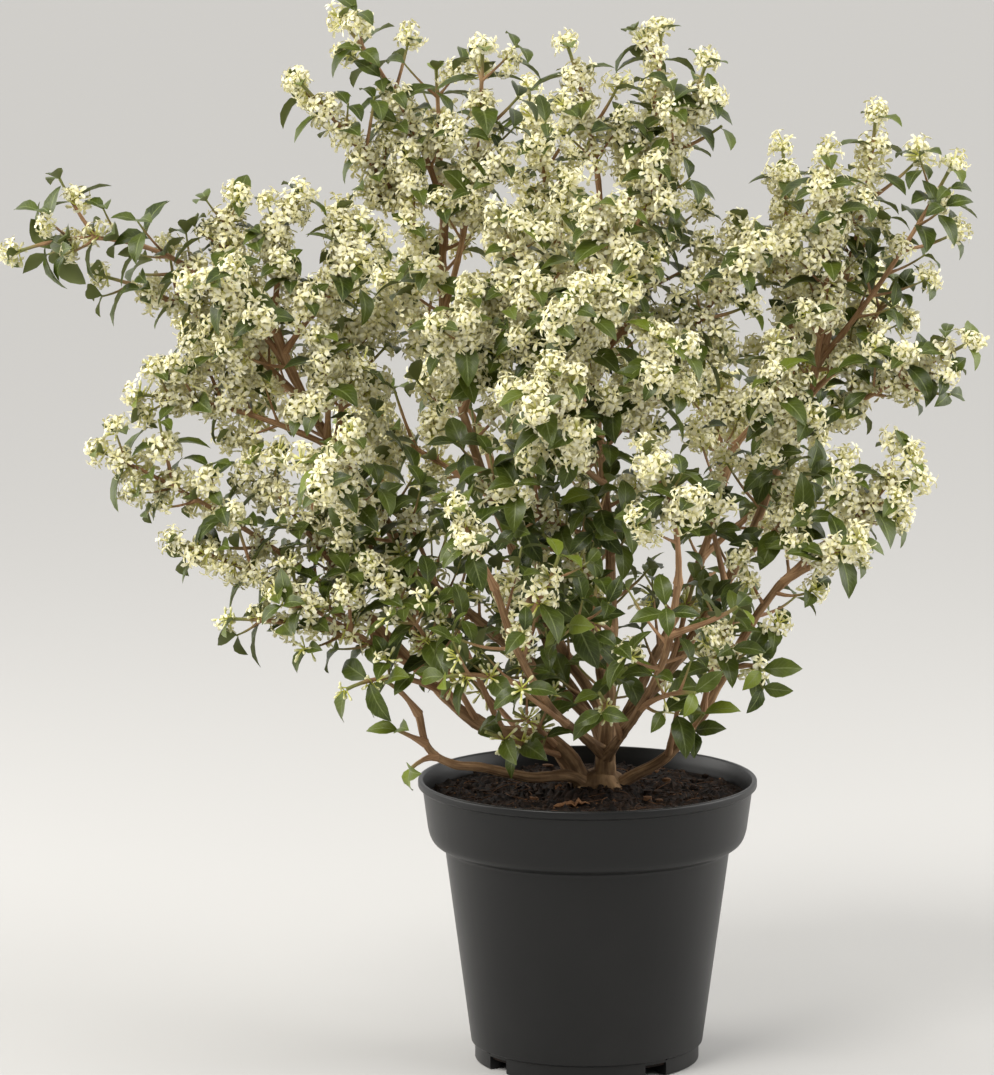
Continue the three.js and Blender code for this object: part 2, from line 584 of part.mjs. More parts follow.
function headSolid(head) {
  const square = head.square.clone().addScaledVector(head.way, -head.square.dot(head.way)).normalize();
  const other = head.way.clone().cross(square);
  const u = square.clone().multiplyScalar(Math.cos(head.spin)).addScaledVector(other, Math.sin(head.spin));
  const v = head.way.clone().cross(u);
  const place = ([x, y, z]) => head.middle.clone()
    .addScaledVector(head.way, x * head.size)
    .addScaledVector(u, y * head.size)
    .addScaledVector(v, z * head.size);
  const cornerIndex = (p) => (p[0] > 0 ? 4 : 0) + (p[1] > 0 ? 2 : 0) + (p[2] > 0 ? 1 : 0);
  const points = [];
  for (const x of [-1, 1]) {
    for (const y of [-1, 1]) {
      for (const z of [-1, 1]) points.push(place([x * HEAD_CORE, y * HEAD_CORE, z * HEAD_CORE]));
    }
  }
  const flat = (face) => [[face[0], face[1], face[2]], [face[0], face[2], face[3]]];
  const back = BACK_FACE.map(cornerIndex);
  const triangles = flat(PLAIN_FACE.map(cornerIndex));
  if (head.foot) {
    const root = points.push(head.foot) - 1;
    back.forEach((corner, i) => triangles.push([corner, back[(i + 1) % 4], root]));
  } else {
    triangles.push(...flat(back));
  }
  for (const [out, a, b] of FLORET_FACES) {
    const onFace = (rise, p, q) => [0, 1, 2].map((i) => out[i] * rise + a[i] * p + b[i] * q);
    const throat = points.push(place(onFace(HEAD_CORE + THROAT_RISE, 0, 0))) - 1;
    const corners = SQUARE.map(([p, q]) => cornerIndex(onFace(1, p, q)));
    PETAL_WAYS.forEach(([p, q], i) => {
      const tip = points.push(place(onFace(HEAD_CORE + FLORET_RISE, p * PETAL_REACH, q * PETAL_REACH))) - 1;
      const [from, to] = [corners[i], corners[(i + 1) % 4]];
      triangles.push([from, to, tip], [tip, to, throat], [from, tip, throat]);
    });
  }
  return solidOf(points, triangles);
}

// The pot

const slope = (from, to, z) => THREE.MathUtils.mapLinear(z, from[1], to[1], from[0], to[0]);
const LIP_FOOT = POT_HEIGHT - LIP_HEIGHT;

const OUTER_WALL = [
  [FOOT_RADIUS, 0], [FOOT_RADIUS, CREASE - 1.5], [CREASE_RADIUS, CREASE], [BODY_TOP_RADIUS, BODY_TOP],
  [SHOULDER_RADIUS, BODY_TOP + 3.5], [COLLAR_FOOT_RADIUS, COLLAR_FOOT], [COLLAR_TOP_RADIUS, LIP_FOOT - 2],
  [RIM_RADIUS, LIP_FOOT], [RIM_RADIUS, POT_HEIGHT],
];
const INNER_WALL = [
  [FOOT_RADIUS - WALL, FLOOR_TOP], [BODY_TOP_RADIUS - WALL, BODY_TOP + WALL],
  [SHOULDER_RADIUS - WALL, BODY_TOP + 3.5 + WALL], [COLLAR_FOOT_RADIUS - WALL, COLLAR_FOOT + WALL],
  [COLLAR_TOP_RADIUS - WALL, LIP_FOOT - 2], [COLLAR_TOP_RADIUS, POT_HEIGHT],
];

function potSolid() {
  const ringInside = FOOT_RADIUS - FOOT_RING_WIDTH;
  const underside = [
    [0, 0], [HUB_RADIUS, 0], [HUB_RADIUS + UNDERSIDE_STEP, UNDERSIDE_STEP],
    [ringInside - UNDERSIDE_STEP, UNDERSIDE_STEP], [ringInside, 0],
  ];
  const inside = [...INNER_WALL].reverse();
  let pot = turned([...underside, ...OUTER_WALL, ...inside, [0, FLOOR_TOP]], ROUND_SIDES);
  for (let i = 0; i < DRAIN_SLOTS; i++) {
    const slot = new THREE.BoxGeometry(DRAIN_WIDTH, 2 * FOOT_RING_WIDTH, 2 * DRAIN_HEIGHT);
    slot.translate(0, -FOOT_RADIUS, 0);
    slot.rotateZ((DRAIN_FIRST_ANGLE + (360 * i) / DRAIN_SLOTS) * DEG);
    pot = pot.subtract(solidOfGeometry(slot));
  }
  return pot;
}

// The soil fills the pot to just under its lip, and has a plain round hole for the crown.

function soilSolid() {
  const inWall = INNER_WALL.slice(0, 4).map(([r, z]) => [r - SEAT_GAP, z + SEAT_GAP]);
  const edge = slope(INNER_WALL[3], INNER_WALL[4], SOIL_EDGE) - SEAT_GAP;
  const top = SOIL_RINGS.map((r) => [r, SOIL_EDGE + SOIL_RISE * (1 - r / edge)]).reverse();
  const profile = [[0, inWall[0][1]], ...inWall, [edge, SOIL_EDGE], ...top, [0, SOIL_EDGE + SOIL_RISE]];
  const geometry = new THREE.LatheGeometry(profile.map(([r, z]) => new THREE.Vector2(r, z)), ROUND_SIDES);
  geometry.rotateX(0.5 * Math.PI);
  const position = geometry.attributes.position;
  for (let i = 0; i < position.count; i++) {
    const [x, y, z] = [position.getX(i), position.getY(i), position.getZ(i)];
    const radius = Math.hypot(x, y);
    if (z < SOIL_EDGE || radius > edge - 1 || radius < 1) continue;
    const swell = Math.sin(0.11 * x + 2) * Math.cos(0.13 * y) + Math.sin(0.23 * y - 0.19 * x);
    position.setZ(i, z + SOIL_BUMP * swell);
  }
  const foot = CROWN_FOOT - SEAT_GAP;
  const hole = Math.max(...CROWN_PROFILE.map(([r]) => r)) + 2 * SEAT_GAP;
  const shaft = [[0, foot], [hole, foot], [hole, POT_HEIGHT], [0, POT_HEIGHT]];
  return solidOfGeometry(geometry).subtract(turned(shaft, ROUND_SIDES, CROWN_CENTRE));
}

// The largest body of a solid, once corners that all but meet are made one
function oneBody(solid) {
  const largest = (whole) => whole.decompose().sort((a, b) => b.volume() - a.volume())[0];
  return largest(solidOfGeometry(geometryOf(largest(solid))));
}

function frameSolid(thicker = 0) {
  const stems = Object.values(limbs).map((limb) => stemSolid(limb, thicker));
  const profile = CROWN_PROFILE.map(([r, z]) => [r > 0 ? r + thicker : 0, z]);
  const crown = turned(profile, CROWN_SIDES, CROWN_CENTRE);
  return stems.reduce((whole, stem) => whole.add(stem), crown);
}

function branchSolid(branch, grownFrame) {
  let solid = stemSolid(branch.axes[0]);
  for (const twig of branch.axes.slice(1)) solid = solid.add(stemSolid(twig));
  for (const head of branch.heads) solid = solid.add(headSolid(head));
  for (const leaf of branch.leaves) solid = solid.add(leafSolid(leaf));
  return oneBody(solid.subtract(grownFrame));
}

// The shrub in its pot

const shrub = new THREE.Group();

function addPiece(name, solid, colour) {
  const mesh = new THREE.Mesh(geometryOf(solid), new THREE.MeshStandardMaterial(COLOURS[colour]));
  mesh.name = name;
  shrub.add(mesh);
}

addPiece("pot", potSolid(), "pot");
addPiece("soil", soilSolid(), "soil");
addPiece("woody_frame", frameSolid(), "bark");
const grownFrame = frameSolid(SEAT_GAP);
for (const branch of branches) addPiece(`branch_${branch.name}`, branchSolid(branch, grownFrame), "foliage");

export default shrub;
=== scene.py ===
"""A potted burkwood osmanthus in flower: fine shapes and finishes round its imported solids.

Sizes are in millimetres and become metres when a mesh is made. The origin is the middle of the
pot's flat underside, +Z is up, and the side that the shrub is seen from faces -Y. The shrub is
grown by the same rule as its solids, from the same limbs and branches, and then gets the leaves,
shoots and flower heads that the plain solids leave out.
"""

import logging
import math
from collections.abc import Callable, Iterator, Sequence
from dataclasses import dataclass, field
from enum import Enum
from typing import ClassVar, TypeVar

import bpy
import numpy as np
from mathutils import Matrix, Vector


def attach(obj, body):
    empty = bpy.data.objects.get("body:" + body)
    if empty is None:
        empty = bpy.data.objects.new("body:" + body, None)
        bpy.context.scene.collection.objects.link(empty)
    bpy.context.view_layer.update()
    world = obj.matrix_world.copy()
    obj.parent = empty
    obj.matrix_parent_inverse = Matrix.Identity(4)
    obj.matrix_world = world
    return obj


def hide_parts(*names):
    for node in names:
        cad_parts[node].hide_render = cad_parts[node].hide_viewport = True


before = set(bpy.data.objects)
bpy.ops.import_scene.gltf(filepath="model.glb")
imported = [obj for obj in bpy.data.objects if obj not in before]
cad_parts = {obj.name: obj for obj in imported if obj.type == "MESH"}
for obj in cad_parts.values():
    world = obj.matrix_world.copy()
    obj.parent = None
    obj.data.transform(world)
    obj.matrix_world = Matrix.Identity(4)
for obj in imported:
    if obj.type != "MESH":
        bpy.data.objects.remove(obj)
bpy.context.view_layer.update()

logging.basicConfig(level=logging.INFO, format="%(message)s")
LOG = logging.getLogger("potted_shrub")

MM = 0.001
GOLDEN_TURN_DEG = 137.5
GOLDEN_TURN_RAD = 2.39996
Array = np.ndarray
Balls = tuple[Array, Array]
Colour = tuple[float, float, float]
Place = tuple[float, float, float]
Corner = tuple[float, float, float]
Try = TypeVar("Try")
Thing = TypeVar("Thing")


class Slot(Enum):
    """The record's material slots."""

    POT = "pot"
    SOIL = "soil"
    BARK = "bark"
    FOLIAGE = "foliage"
    PETAL = "petal"


# Shader maths and finishes


class Wire:
    """A shader value that can be used in a sum."""

    def __init__(self, finish: "Nodes", socket: bpy.types.NodeSocket) -> None:
        """Args:
            finish: the material that the socket belongs to.
            socket: an output socket of one of its nodes.
        """
        self.finish = finish
        self.socket = socket

    def _math(self, operation: str, first: "Wire | float", second: "Wire | float") -> "Wire":
        """Adds a Math node with two values and returns its output."""
        return self.finish.node("ShaderNodeMath", {"operation": operation}, {0: first, 1: second})

    def __add__(self, other: "Wire | float") -> "Wire":
        """The sum of two values."""
        return self._math("ADD", self, other)

    def __radd__(self, other: float) -> "Wire":
        """The sum of a number and this value."""
        return self._math("ADD", other, self)

    def __sub__(self, other: "Wire | float") -> "Wire":
        """This value less another."""
        return self._math("SUBTRACT", self, other)

    def __rsub__(self, other: float) -> "Wire":
        """A number less this value."""
        return self._math("SUBTRACT", other, self)

    def __mul__(self, other: "Wire | float") -> "Wire":
        """The product of two values."""
        return self._math("MULTIPLY", self, other)

    def __rmul__(self, other: float) -> "Wire":
        """The product of a number and this value."""
        return self._math("MULTIPLY", other, self)

    def __abs__(self) -> "Wire":
        """The value without its sign."""
        return self._math("ABSOLUTE", self, 0.0)

    def sine(self) -> "Wire":
        """The sine of the value."""
        return self._math("SINE", self, 0.0)

    def step(self, low: float, high: float) -> "Wire":
        """A smooth step of the value.

        Args:
            low: where the step is 0.
            high: where it is 1; it may be the lower of the two.

        Returns:
            A value from 0 to 1.
        """
        settings = {"interpolation_type": "SMOOTHSTEP"}
        limits = {"From Min": min(low, high), "From Max": max(low, high)}
        rise = self.finish.node("ShaderNodeMapRange", settings, {"Value": self, **limits})
        return rise if low < high else 1 - rise


class Nodes:
    """A material or a sky under construction, and the one way to add a node to it."""

    def __init__(self, holder: bpy.types.Material | bpy.types.World) -> None:
        """Args:
            holder: the new material or world.
        """
        self.holder = holder
        self.holder.use_nodes = True
        self.tree = self.holder.node_tree
        self.tree.nodes.clear()

    @classmethod
    def material(cls, name: str) -> "Nodes":
        """The nodes of a new material."""
        return cls(bpy.data.materials.new(name))

    def node(
        self, kind: str, settings: dict[str, object], inputs: dict[object, object], output: object = 0
    ) -> Wire:
        """Adds any node.

        Args:
            kind: the node's type.
            settings: its own settings, such as a Math node's operation, set first.
            inputs: the values or links of its sockets, by name or number.
            output: the name or number of the output that is wanted.

        Returns:
            That output.
        """
        made = self.tree.nodes.new(kind)
        for key, value in settings.items():
            setattr(made, key, value)
        for key, value in inputs.items():
            if isinstance(value, Wire):
                self.tree.links.new(value.socket, made.inputs[key])
            else:
                made.inputs[key].default_value = value
        return Wire(self, made.outputs[output])

    def place(self) -> Wire:
        """The place on the piece, in metres."""
        return self.node("ShaderNodeTexCoord", {}, {}, "Object")

    def uv(self) -> tuple[Wire, Wire]:
        """The two parameters of the piece's own surface."""
        found = self.node("ShaderNodeUVMap", {"uv_map": "surface"}, {})
        return tuple(self.node("ShaderNodeSeparateXYZ", {}, {0: found}, axis) for axis in ("X", "Y"))

    def attribute(self, name: str) -> Wire:
        """A number that the mesh carries at each corner."""
        return self.node("ShaderNodeAttribute", {"attribute_name": name}, {}, "Fac")

    def noise(self, scale: float, detail: float = 2.0, vector: Wire | None = None) -> Wire:
        """Cloudy noise from 0 to 1: lumps to the metre or the vector's unit, and finer layers."""
        inputs = {"Vector": vector or self.place(), "Scale": scale, "Detail": detail}
        return self.node("ShaderNodeTexNoise", {}, inputs)

    def vector(self, x: Wire | float, y: Wire | float, z: Wire | float) -> Wire:
        """Three values as one vector."""
        return self.node("ShaderNodeCombineXYZ", {}, {0: x, 1: y, 2: z})

    def mix(self, factor: Wire | float, first: Wire | Colour, second: Wire | Colour) -> Wire:
        """Blends two colours: the factor 0 gives the first and 1 the second."""
        ends = [end if isinstance(end, Wire) else (*end, 1) for end in (first, second)]
        return self.node("ShaderNodeMix", {"data_type": "RGBA"}, {0: factor, 6: ends[0], 7: ends[1]}, 2)

    def bump(self, height: Wire, depth_mm: float, strength: float = 1.0) -> Wire:
        """A normal bent by a height from 0 to 1, whose whole range is so deep."""
        inputs = {"Strength": strength, "Distance": depth_mm * MM, "Height": height}
        return self.node("ShaderNodeBump", {}, inputs)

    def finish(self, **sockets: object) -> bpy.types.Material:
        """Ends the material in one principled shader.

        Args:
            sockets: the shader's sockets, with _ for a space in their names.

        Returns:
            The material.
        """
        inputs = {key.replace("_", " "): value for key, value in sockets.items()}
        for key, value in inputs.items():
            if isinstance(value, tuple) and len(value) == 3:
                inputs[key] = (*value, 1)
        shader = self.node("ShaderNodeBsdfPrincipled", {}, inputs)
        self.end("ShaderNodeOutputMaterial", shader)
        return self.holder

    def end(self, kind: str, shader: Wire) -> None:
        """Links a shader to an output node of the kind."""
        output = self.tree.nodes.new(kind)
        self.tree.links.new(shader.socket, output.inputs["Surface"])


@dataclass(frozen=True)
class MouldedPlastic:
    """Matt dark plastic with a fine grain, faint flow marks and a little dust near the ground."""

    name: str = "moulded_dark_plastic"
    colour: Colour = (0.0036, 0.0037, 0.0038)
    dust: Colour = (0.014, 0.0136, 0.013)
    grain_per_metre: float = 1400.0
    roughness: float = 0.36

    def material(self) -> bpy.types.Material:
        """The finish as a material."""
        nodes = Nodes.material(self.name)
        cloud = nodes.noise(18.0, 4.0)
        grain = nodes.noise(self.grain_per_metre, 2.0)
        height = nodes.node("ShaderNodeSeparateXYZ", {}, {0: nodes.place()}, "Z")
        low = height.step(0.045, 0.0) * cloud.step(0.35, 0.7)
        colour = nodes.mix(0.2 * cloud.step(0.4, 0.75) + 0.35 * low, self.colour, self.dust)
        return nodes.finish(
            Base_Color=colour,
            Roughness=self.roughness + 0.12 * (cloud - 0.5) + 0.08 * grain + 0.12 * low,
            Normal=nodes.bump(grain, 0.12, 0.35),
            Specular_IOR_Level=0.38,
        )


@dataclass(frozen=True)
class Peat:
    """Dark fibrous compost. The mesh's tone runs from dark peat (0) to pale bark (1)."""

    name: str = "dark_peat"
    dark: Colour = (0.0055, 0.0035, 0.0026)
    brown: Colour = (0.026, 0.014, 0.0082)
    pale: Colour = (0.26, 0.125, 0.055)

    def material(self) -> bpy.types.Material:
        """The finish as a material."""
        nodes = Nodes.material(self.name)
        clods = nodes.noise(190.0, 5.0)
        grit = nodes.noise(900.0, 3.0)
        ground = nodes.mix(clods.step(0.38, 0.68), self.dark, self.brown)
        colour = nodes.mix(nodes.attribute("tone") * (0.55 + 0.6 * grit), ground, self.pale)
        return nodes.finish(
            Base_Color=colour,
            Roughness=0.82 + 0.15 * clods,
            Normal=nodes.bump(0.6 * clods + 0.4 * grit, 1.6, 0.8),
            Specular_IOR_Level=0.25,
        )


@dataclass(frozen=True)
class BarkSkin:
    """Bark from old grey-brown wood (tone 0) to tan and red-brown young twigs (tone 1)."""

    name: str = "shrub_bark"
    old_dark: Colour = (0.12, 0.066, 0.03)
    old_pale: Colour = (0.36, 0.225, 0.115)
    young_dark: Colour = (0.25, 0.125, 0.058)
    young_pale: Colour = (0.45, 0.275, 0.145)
    fresh: Colour = (0.21, 0.22, 0.06)

    def material(self) -> bpy.types.Material:
        """The finish as a material."""
        nodes = Nodes.material(self.name)
        around, along = nodes.uv()
        turn = math.tau * around
        ring = nodes.vector(turn.sine() * 2.6, (turn + 0.5 * math.pi).sine() * 2.6, along * 0.055)
        streaks = nodes.noise(1.0, 4.0, ring)
        patches = nodes.noise(75.0, 4.0)
        pores = nodes.noise(620.0, 2.0)
        tone = nodes.attribute("tone")
        marks = 0.6 * streaks + 0.4 * patches
        old = nodes.mix(marks.step(0.36, 0.66), self.old_dark, self.old_pale)
        young = nodes.mix(marks.step(0.3, 0.7), self.young_dark, self.young_pale)
        bark = nodes.mix(tone.step(0.05, 0.6), old, young)
        bark = nodes.mix(tone.step(1.0, 1.6), bark, self.fresh)
        return nodes.finish(
            Base_Color=bark,
            Roughness=0.8 - 0.2 * tone.step(0.0, 1.0) + 0.1 * pores,
            Normal=nodes.bump(0.7 * streaks + 0.3 * pores, 0.9, 0.7),
            Specular_IOR_Level=0.35,
        )


@dataclass(frozen=True)
class LeafSkin:
    """Leathery leaf: glossy dark green above and paler below, with a pale rib, faint side veins
    and a pale edge. The mesh's tone runs from an old leaf (0) to a young yellow-green one (1)."""

    name: str = "osmanthus_leaf"
    deep: Colour = (0.016, 0.027, 0.002)
    green: Colour = (0.045, 0.068, 0.0045)
    young: Colour = (0.17, 0.215, 0.018)
    vein: Colour = (0.2, 0.24, 0.08)
    under: Colour = (0.15, 0.175, 0.065)

    def material(self) -> bpy.types.Material:
        """The finish as a material."""
        nodes = Nodes.material(self.name)
        around, along = nodes.uv()
        side = abs(2 * around - 1)
        tone = nodes.attribute("tone")
        mottle = nodes.noise(160.0, 3.0)
        lower = around.step(0.995, 1.005)
        rib = side.step(0.11, 0.03)
        rim = side.step(0.86, 0.97) * (1 - lower)
        wave = ((along * 9.0 - side * 2.2) * math.tau).sine()
        veins = wave.step(0.72, 1.0) * side.step(0.97, 0.6)
        top = nodes.mix(mottle.step(0.3, 0.72), self.deep, self.green)
        top = nodes.mix(tone, top, self.young)
        top = nodes.mix(0.16 * veins + 0.62 * rib + 0.3 * rim, top, self.vein)
        bottom = nodes.mix(0.45 * tone + 0.25 * mottle, self.under, self.young)
        colour = nodes.mix(lower, top, bottom)
        relief = 0.5 - 0.35 * rib - 0.16 * veins + 0.1 * mottle
        return nodes.finish(
            Base_Color=colour,
            Roughness=0.3 + 0.16 * mottle + 0.26 * lower,
            Normal=nodes.bump(relief, 0.45, 0.7),
            Specular_IOR_Level=0.34,
        )


@dataclass(frozen=True)
class PetalSkin:
    """Cream white petals. The mesh's tone runs from an open petal (0) to a green bud (1)."""

    name: str = "cream_petal"
    white: Colour = (0.89, 0.862, 0.668)
    cream: Colour = (0.87, 0.8, 0.34)
    bud: Colour = (0.56, 0.57, 0.09)

    def material(self) -> bpy.types.Material:
        """The finish as a material."""
        nodes = Nodes.material(self.name)
        _, along = nodes.uv()
        tone = nodes.attribute("tone")
        mottle = nodes.noise(240.0, 2.0)
        open_petal = nodes.mix(along.step(0.75, 0.0) * 0.75 + 0.2 * mottle, self.white, self.cream)
        colour = nodes.mix(tone, open_petal, self.bud)
        return nodes.finish(
            Base_Color=colour,
            Roughness=0.52 + 0.12 * mottle,
            Normal=nodes.bump(nodes.noise(1500.0, 1.0), 0.1, 0.3),
            Specular_IOR_Level=0.35,
        )


@dataclass(frozen=True)
class StudioPaper:
    """The plain pale floor."""

    name: str = "pale_floor"
    colour: Colour = (0.46, 0.455, 0.446)

    def material(self) -> bpy.types.Material:
        """The finish as a material."""
        nodes = Nodes.material(self.name)
        return nodes.finish(Base_Color=self.colour, Roughness=0.85, Specular_IOR_Level=0.2)


# Meshes from stacks of rings


def unit(vectors: Array) -> Array:
    """Vectors over their lengths."""
    return vectors / np.linalg.norm(vectors, axis=-1, keepdims=True)


def ripple(places: Array, wavelength: float, seed: int, waves: int = 14) -> Array:
    """A smooth bumpy field: the mean of sine waves with seeded directions and phases.

    Args:
        places: points, with x, y and z last.
        wavelength: the middle length of its waves, in millimetres.
        seed: picks the waves.
        waves: how many there are.

    Returns:
        A value for each point, mostly between -1 and 1.
    """
    rng = np.random.default_rng(seed)
    ways = unit(rng.normal(size=(waves, 3))) * (2 * np.pi / wavelength)
    ways *= rng.uniform(0.6, 1.6, size=(waves, 1))
    phases = rng.uniform(0, 2 * np.pi, size=waves)
    return np.sin(places @ ways.T + phases).sum(-1) / math.sqrt(waves)


@dataclass(frozen=True)
class RingStack:
    """The faces of a closed body: a first point, rings of corners, and a last point. Seen along
    the stack's way, each ring goes round anticlockwise when it is looked at from its end."""

    rings: int
    sides: int

    @property
    def corners(self) -> int:
        """How many corners one body has."""
        return self.rings * self.sides + 2

    def cells(self) -> tuple[Array, Array]:
        """Triangles at the two ends and quads between the rings.

        Returns:
            Two arrays of (row, column) pairs, one pair for each corner of each face; the column
            after the last is the seam's far side.
        """
        column = np.arange(self.sides)
        last = self.rings + 1
        first_fan = [(0, column), (1, column + 1), (1, column)]
        last_fan = [(last - 1, column), (last - 1, column + 1), (last, column)]
        fans = [np.stack([np.stack([np.full_like(c, r), c], -1) for r, c in fan], 1)
                for fan in (first_fan, last_fan)]
        rows, columns = (a.ravel() for a in np.meshgrid(np.arange(1, self.rings), column, indexing="ij"))
        quads = np.stack([np.stack(pair, -1) for pair in (
            (rows, columns), (rows, columns + 1), (rows + 1, columns + 1), (rows + 1, columns))], 1)
        return np.concatenate(fans), quads

    def index(self, cells: Array) -> Array:
        """Corner numbers of (row, column) pairs."""
        row, column = cells[..., 0], cells[..., 1] % self.sides
        inner = 1 + (row - 1) * self.sides + column
        return np.where(row == 0, 0, np.where(row == self.rings + 1, self.corners - 1, inner))


@dataclass
class Skin:
    """The closed bodies that make up one piece, gathered before they become a mesh."""

    name: str
    slot: Slot
    nodes: tuple[str, ...]
    vertices: list[Array] = field(default_factory=list)
    tones: list[Array] = field(default_factory=list)
    faces: dict[int, list[Array]] = field(default_factory=lambda: {3: [], 4: []})
    places: dict[int, list[Array]] = field(default_factory=lambda: {3: [], 4: []})
    total: int = 0

    def add(self, points: Array, stack: RingStack, tone: Array | float,
            along: Array | None = None, across: Array | None = None) -> None:
        """Adds bodies of one kind.

        Args:
            points: the corners of each body, in millimetres: bodies, corners, xyz.
            stack: how the corners are joined.
            tone: a number for all, for each body, or for each corner of each body.
            along: the surface's second parameter for each row, from the first point to the last,
                or even steps from 0 to 1.
            across: its first parameter for each column, with one more for the seam, or even steps.
        """
        along = np.linspace(0, 1, stack.rings + 2) if along is None else along
        across = np.linspace(0, 1, stack.sides + 1) if across is None else across
        count = len(points)
        shift = self.total + np.arange(count)[:, None, None] * stack.corners
        for cells in stack.cells():
            size = cells.shape[1]
            if not len(cells):
                continue
            self.faces[size].append((stack.index(cells)[None] + shift).reshape(-1, size))
            where = np.stack([across[cells[..., 1]], along[cells[..., 0]]], -1)
            self.places[size].append(np.tile(where, (count, 1, 1)).reshape(-1, 2))
        shade = np.asarray(tone, float)
        if shade.ndim == 1:
            shade = shade[:, None]
        self.tones.append(np.broadcast_to(shade, (count, stack.corners)).ravel())
        self.vertices.append(points.reshape(-1, 3))
        self.total += count * stack.corners

    def piece(self, material: bpy.types.Material, sharp_deg: float = 50.0) -> bpy.types.Object:
        """Makes the mesh, rides it on the root body and hides the CAD nodes that it stands for.

        Args:
            material: its finish.
            sharp_deg: edges that turn by more than this stay sharp.

        Returns:
            The piece.
        """
        faces = [np.concatenate(found) for found in self.faces.values() if found]
        sizes = np.concatenate([np.full(len(found), found.shape[1]) for found in faces])
        loops = np.concatenate([found.ravel() for found in faces])
        mesh = bpy.data.meshes.new(self.name)
        mesh.vertices.add(self.total)
        mesh.vertices.foreach_set("co", (np.concatenate(self.vertices) * MM).astype(np.float32).ravel())
        mesh.loops.add(len(loops))
        mesh.loops.foreach_set("vertex_index", loops.astype(np.int32))
        mesh.polygons.add(len(sizes))
        starts = np.concatenate([[0], np.cumsum(sizes)[:-1]])
        mesh.polygons.foreach_set("loop_start", starts.astype(np.int32))
        mesh.polygons.foreach_set("use_smooth", np.ones(len(sizes), bool))
        mesh.update(calc_edges=True)
        uvs = np.concatenate([np.concatenate(found) for found in self.places.values() if found])
        mesh.uv_layers.new(name="surface").data.foreach_set("uv", uvs.astype(np.float32).ravel())
        tone = mesh.attributes.new("tone", "FLOAT", "POINT")
        tone.data.foreach_set("value", np.concatenate(self.tones).astype(np.float32))
        mesh.set_sharp_from_angle(angle=math.radians(sharp_deg))
        mesh.materials.append(material)
        made = bpy.data.objects.new(self.name, mesh)
        bpy.context.scene.collection.objects.link(made)
        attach(made, "root")
        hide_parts(*self.nodes)
        LOG.info("%s: %d corners, %d faces", self.name, self.total, len(sizes))
        return made


def ring_angles(sides: int) -> Array:
    """The angles of a ring's corners, in radians."""
    return np.arange(sides) * (2 * np.pi / sides)


def turned_body(profile: Array, angles: Array) -> tuple[Array, RingStack]:
    """A profile spun about Z: each point (radius, height) of it becomes a ring, apart from the
    first and the last, which lie on the axis.

    Args:
        profile: the points, from the axis round to the axis, with the outside on their right.
        angles: the angles of each ring's corners, in radians.

    Returns:
        The corners of one body, and how they are joined.
    """
    radius, height = profile[1:-1].T
    rings = np.stack([
        radius[:, None] * np.cos(angles),
        radius[:, None] * np.sin(angles),
        np.broadcast_to(height[:, None], (len(radius), len(angles))),
    ], -1).reshape(-1, 3)
    ends = np.array([[0, 0, profile[0][1]], [0, 0, profile[-1][1]]])
    return np.concatenate([ends[:1], rings, ends[1:]])[None], RingStack(len(radius), len(angles))


def rounded(points: Sequence[Corner], steps: int = 5) -> Array:
    """A profile with its corners rounded: each corner becomes a quadratic curve between the two
    places that lie its radius away along its sides.

    Args:
        points: each corner's radius from the axis, height, and rounding.
        steps: how many points each curve has.

    Returns:
        The profile's points.
    """
    flat = np.array([point[:2] for point in points], float)
    found = [flat[:1]]
    for i in range(1, len(points) - 1):
        corner = flat[i]
        legs = [flat[i - 1] - corner, flat[i + 1] - corner]
        start, end = (corner + leg * min(points[i][2] / np.hypot(*leg), 0.48) for leg in legs)
        share = np.linspace(0, 1, steps)[:, None]
        found.append((1 - share) ** 2 * start + 2 * share * (1 - share) * corner + share**2 * end)
    return np.concatenate([*found, flat[-1:]])


def hump(distance: Array, reach: float) -> Array:
    """A smooth hump, e to the minus square of distance over reach: 1 at no distance, near 0 at 2."""
    return np.exp(-((distance / reach) ** 2))


def arc_lengths(profile: Array) -> Array:
    """How far along a profile each of its points lies."""
    return np.concatenate([[0], np.cumsum(np.linalg.norm(np.diff(profile, axis=0), axis=1))])


def spokes(side: Array, other: Array, angles: Array) -> Array:
    """Directions round some axes: one that is square to each times the cosine, plus another times
    the sine, at angles that are the same for all or have a row for each."""
    return side[:, None] * np.cos(angles)[..., None] + other[:, None] * np.sin(angles)[..., None]


# The way the shrub grows


@dataclass(frozen=True)
class LimbPlan:
    """A limb of the woody frame: its name, the radius at each end, how fast the thickness goes (1
    evenly, more: most of it low down), and the points it runs through."""

    name: str
    radii: tuple[float, float]
    taper: float
    points: tuple[Place, ...]


@dataclass(frozen=True)
class BranchPlan:
    """A leafy branch: the limb it grows from and where on it (0 crown, 1 tip), its own tip, how far
    its middle bows from the straight line, and how freely it flowers (0 to 1)."""

    name: str
    limb: str
    at: float
    tip: Place
    bow: Place
    bloom: float


@dataclass(frozen=True)
class Zone:
    """A rounded part of the crown: its middle, and how far it reaches along x, y and z."""

    DEPTH_AT_MIDDLE: ClassVar[float] = 1.7
    DEPTH_PER_REACH: ClassVar[float] = 1.4

    middle: Place
    reach: Place

    def depth(self, place: Array) -> float:
        """How far inside the zone a place lies: 1 near its middle, 0 outside it."""
        away = np.linalg.norm((place - np.array(self.middle)) / np.array(self.reach))
        return float(np.clip(self.DEPTH_AT_MIDDLE - self.DEPTH_PER_REACH * away, 0, 1))


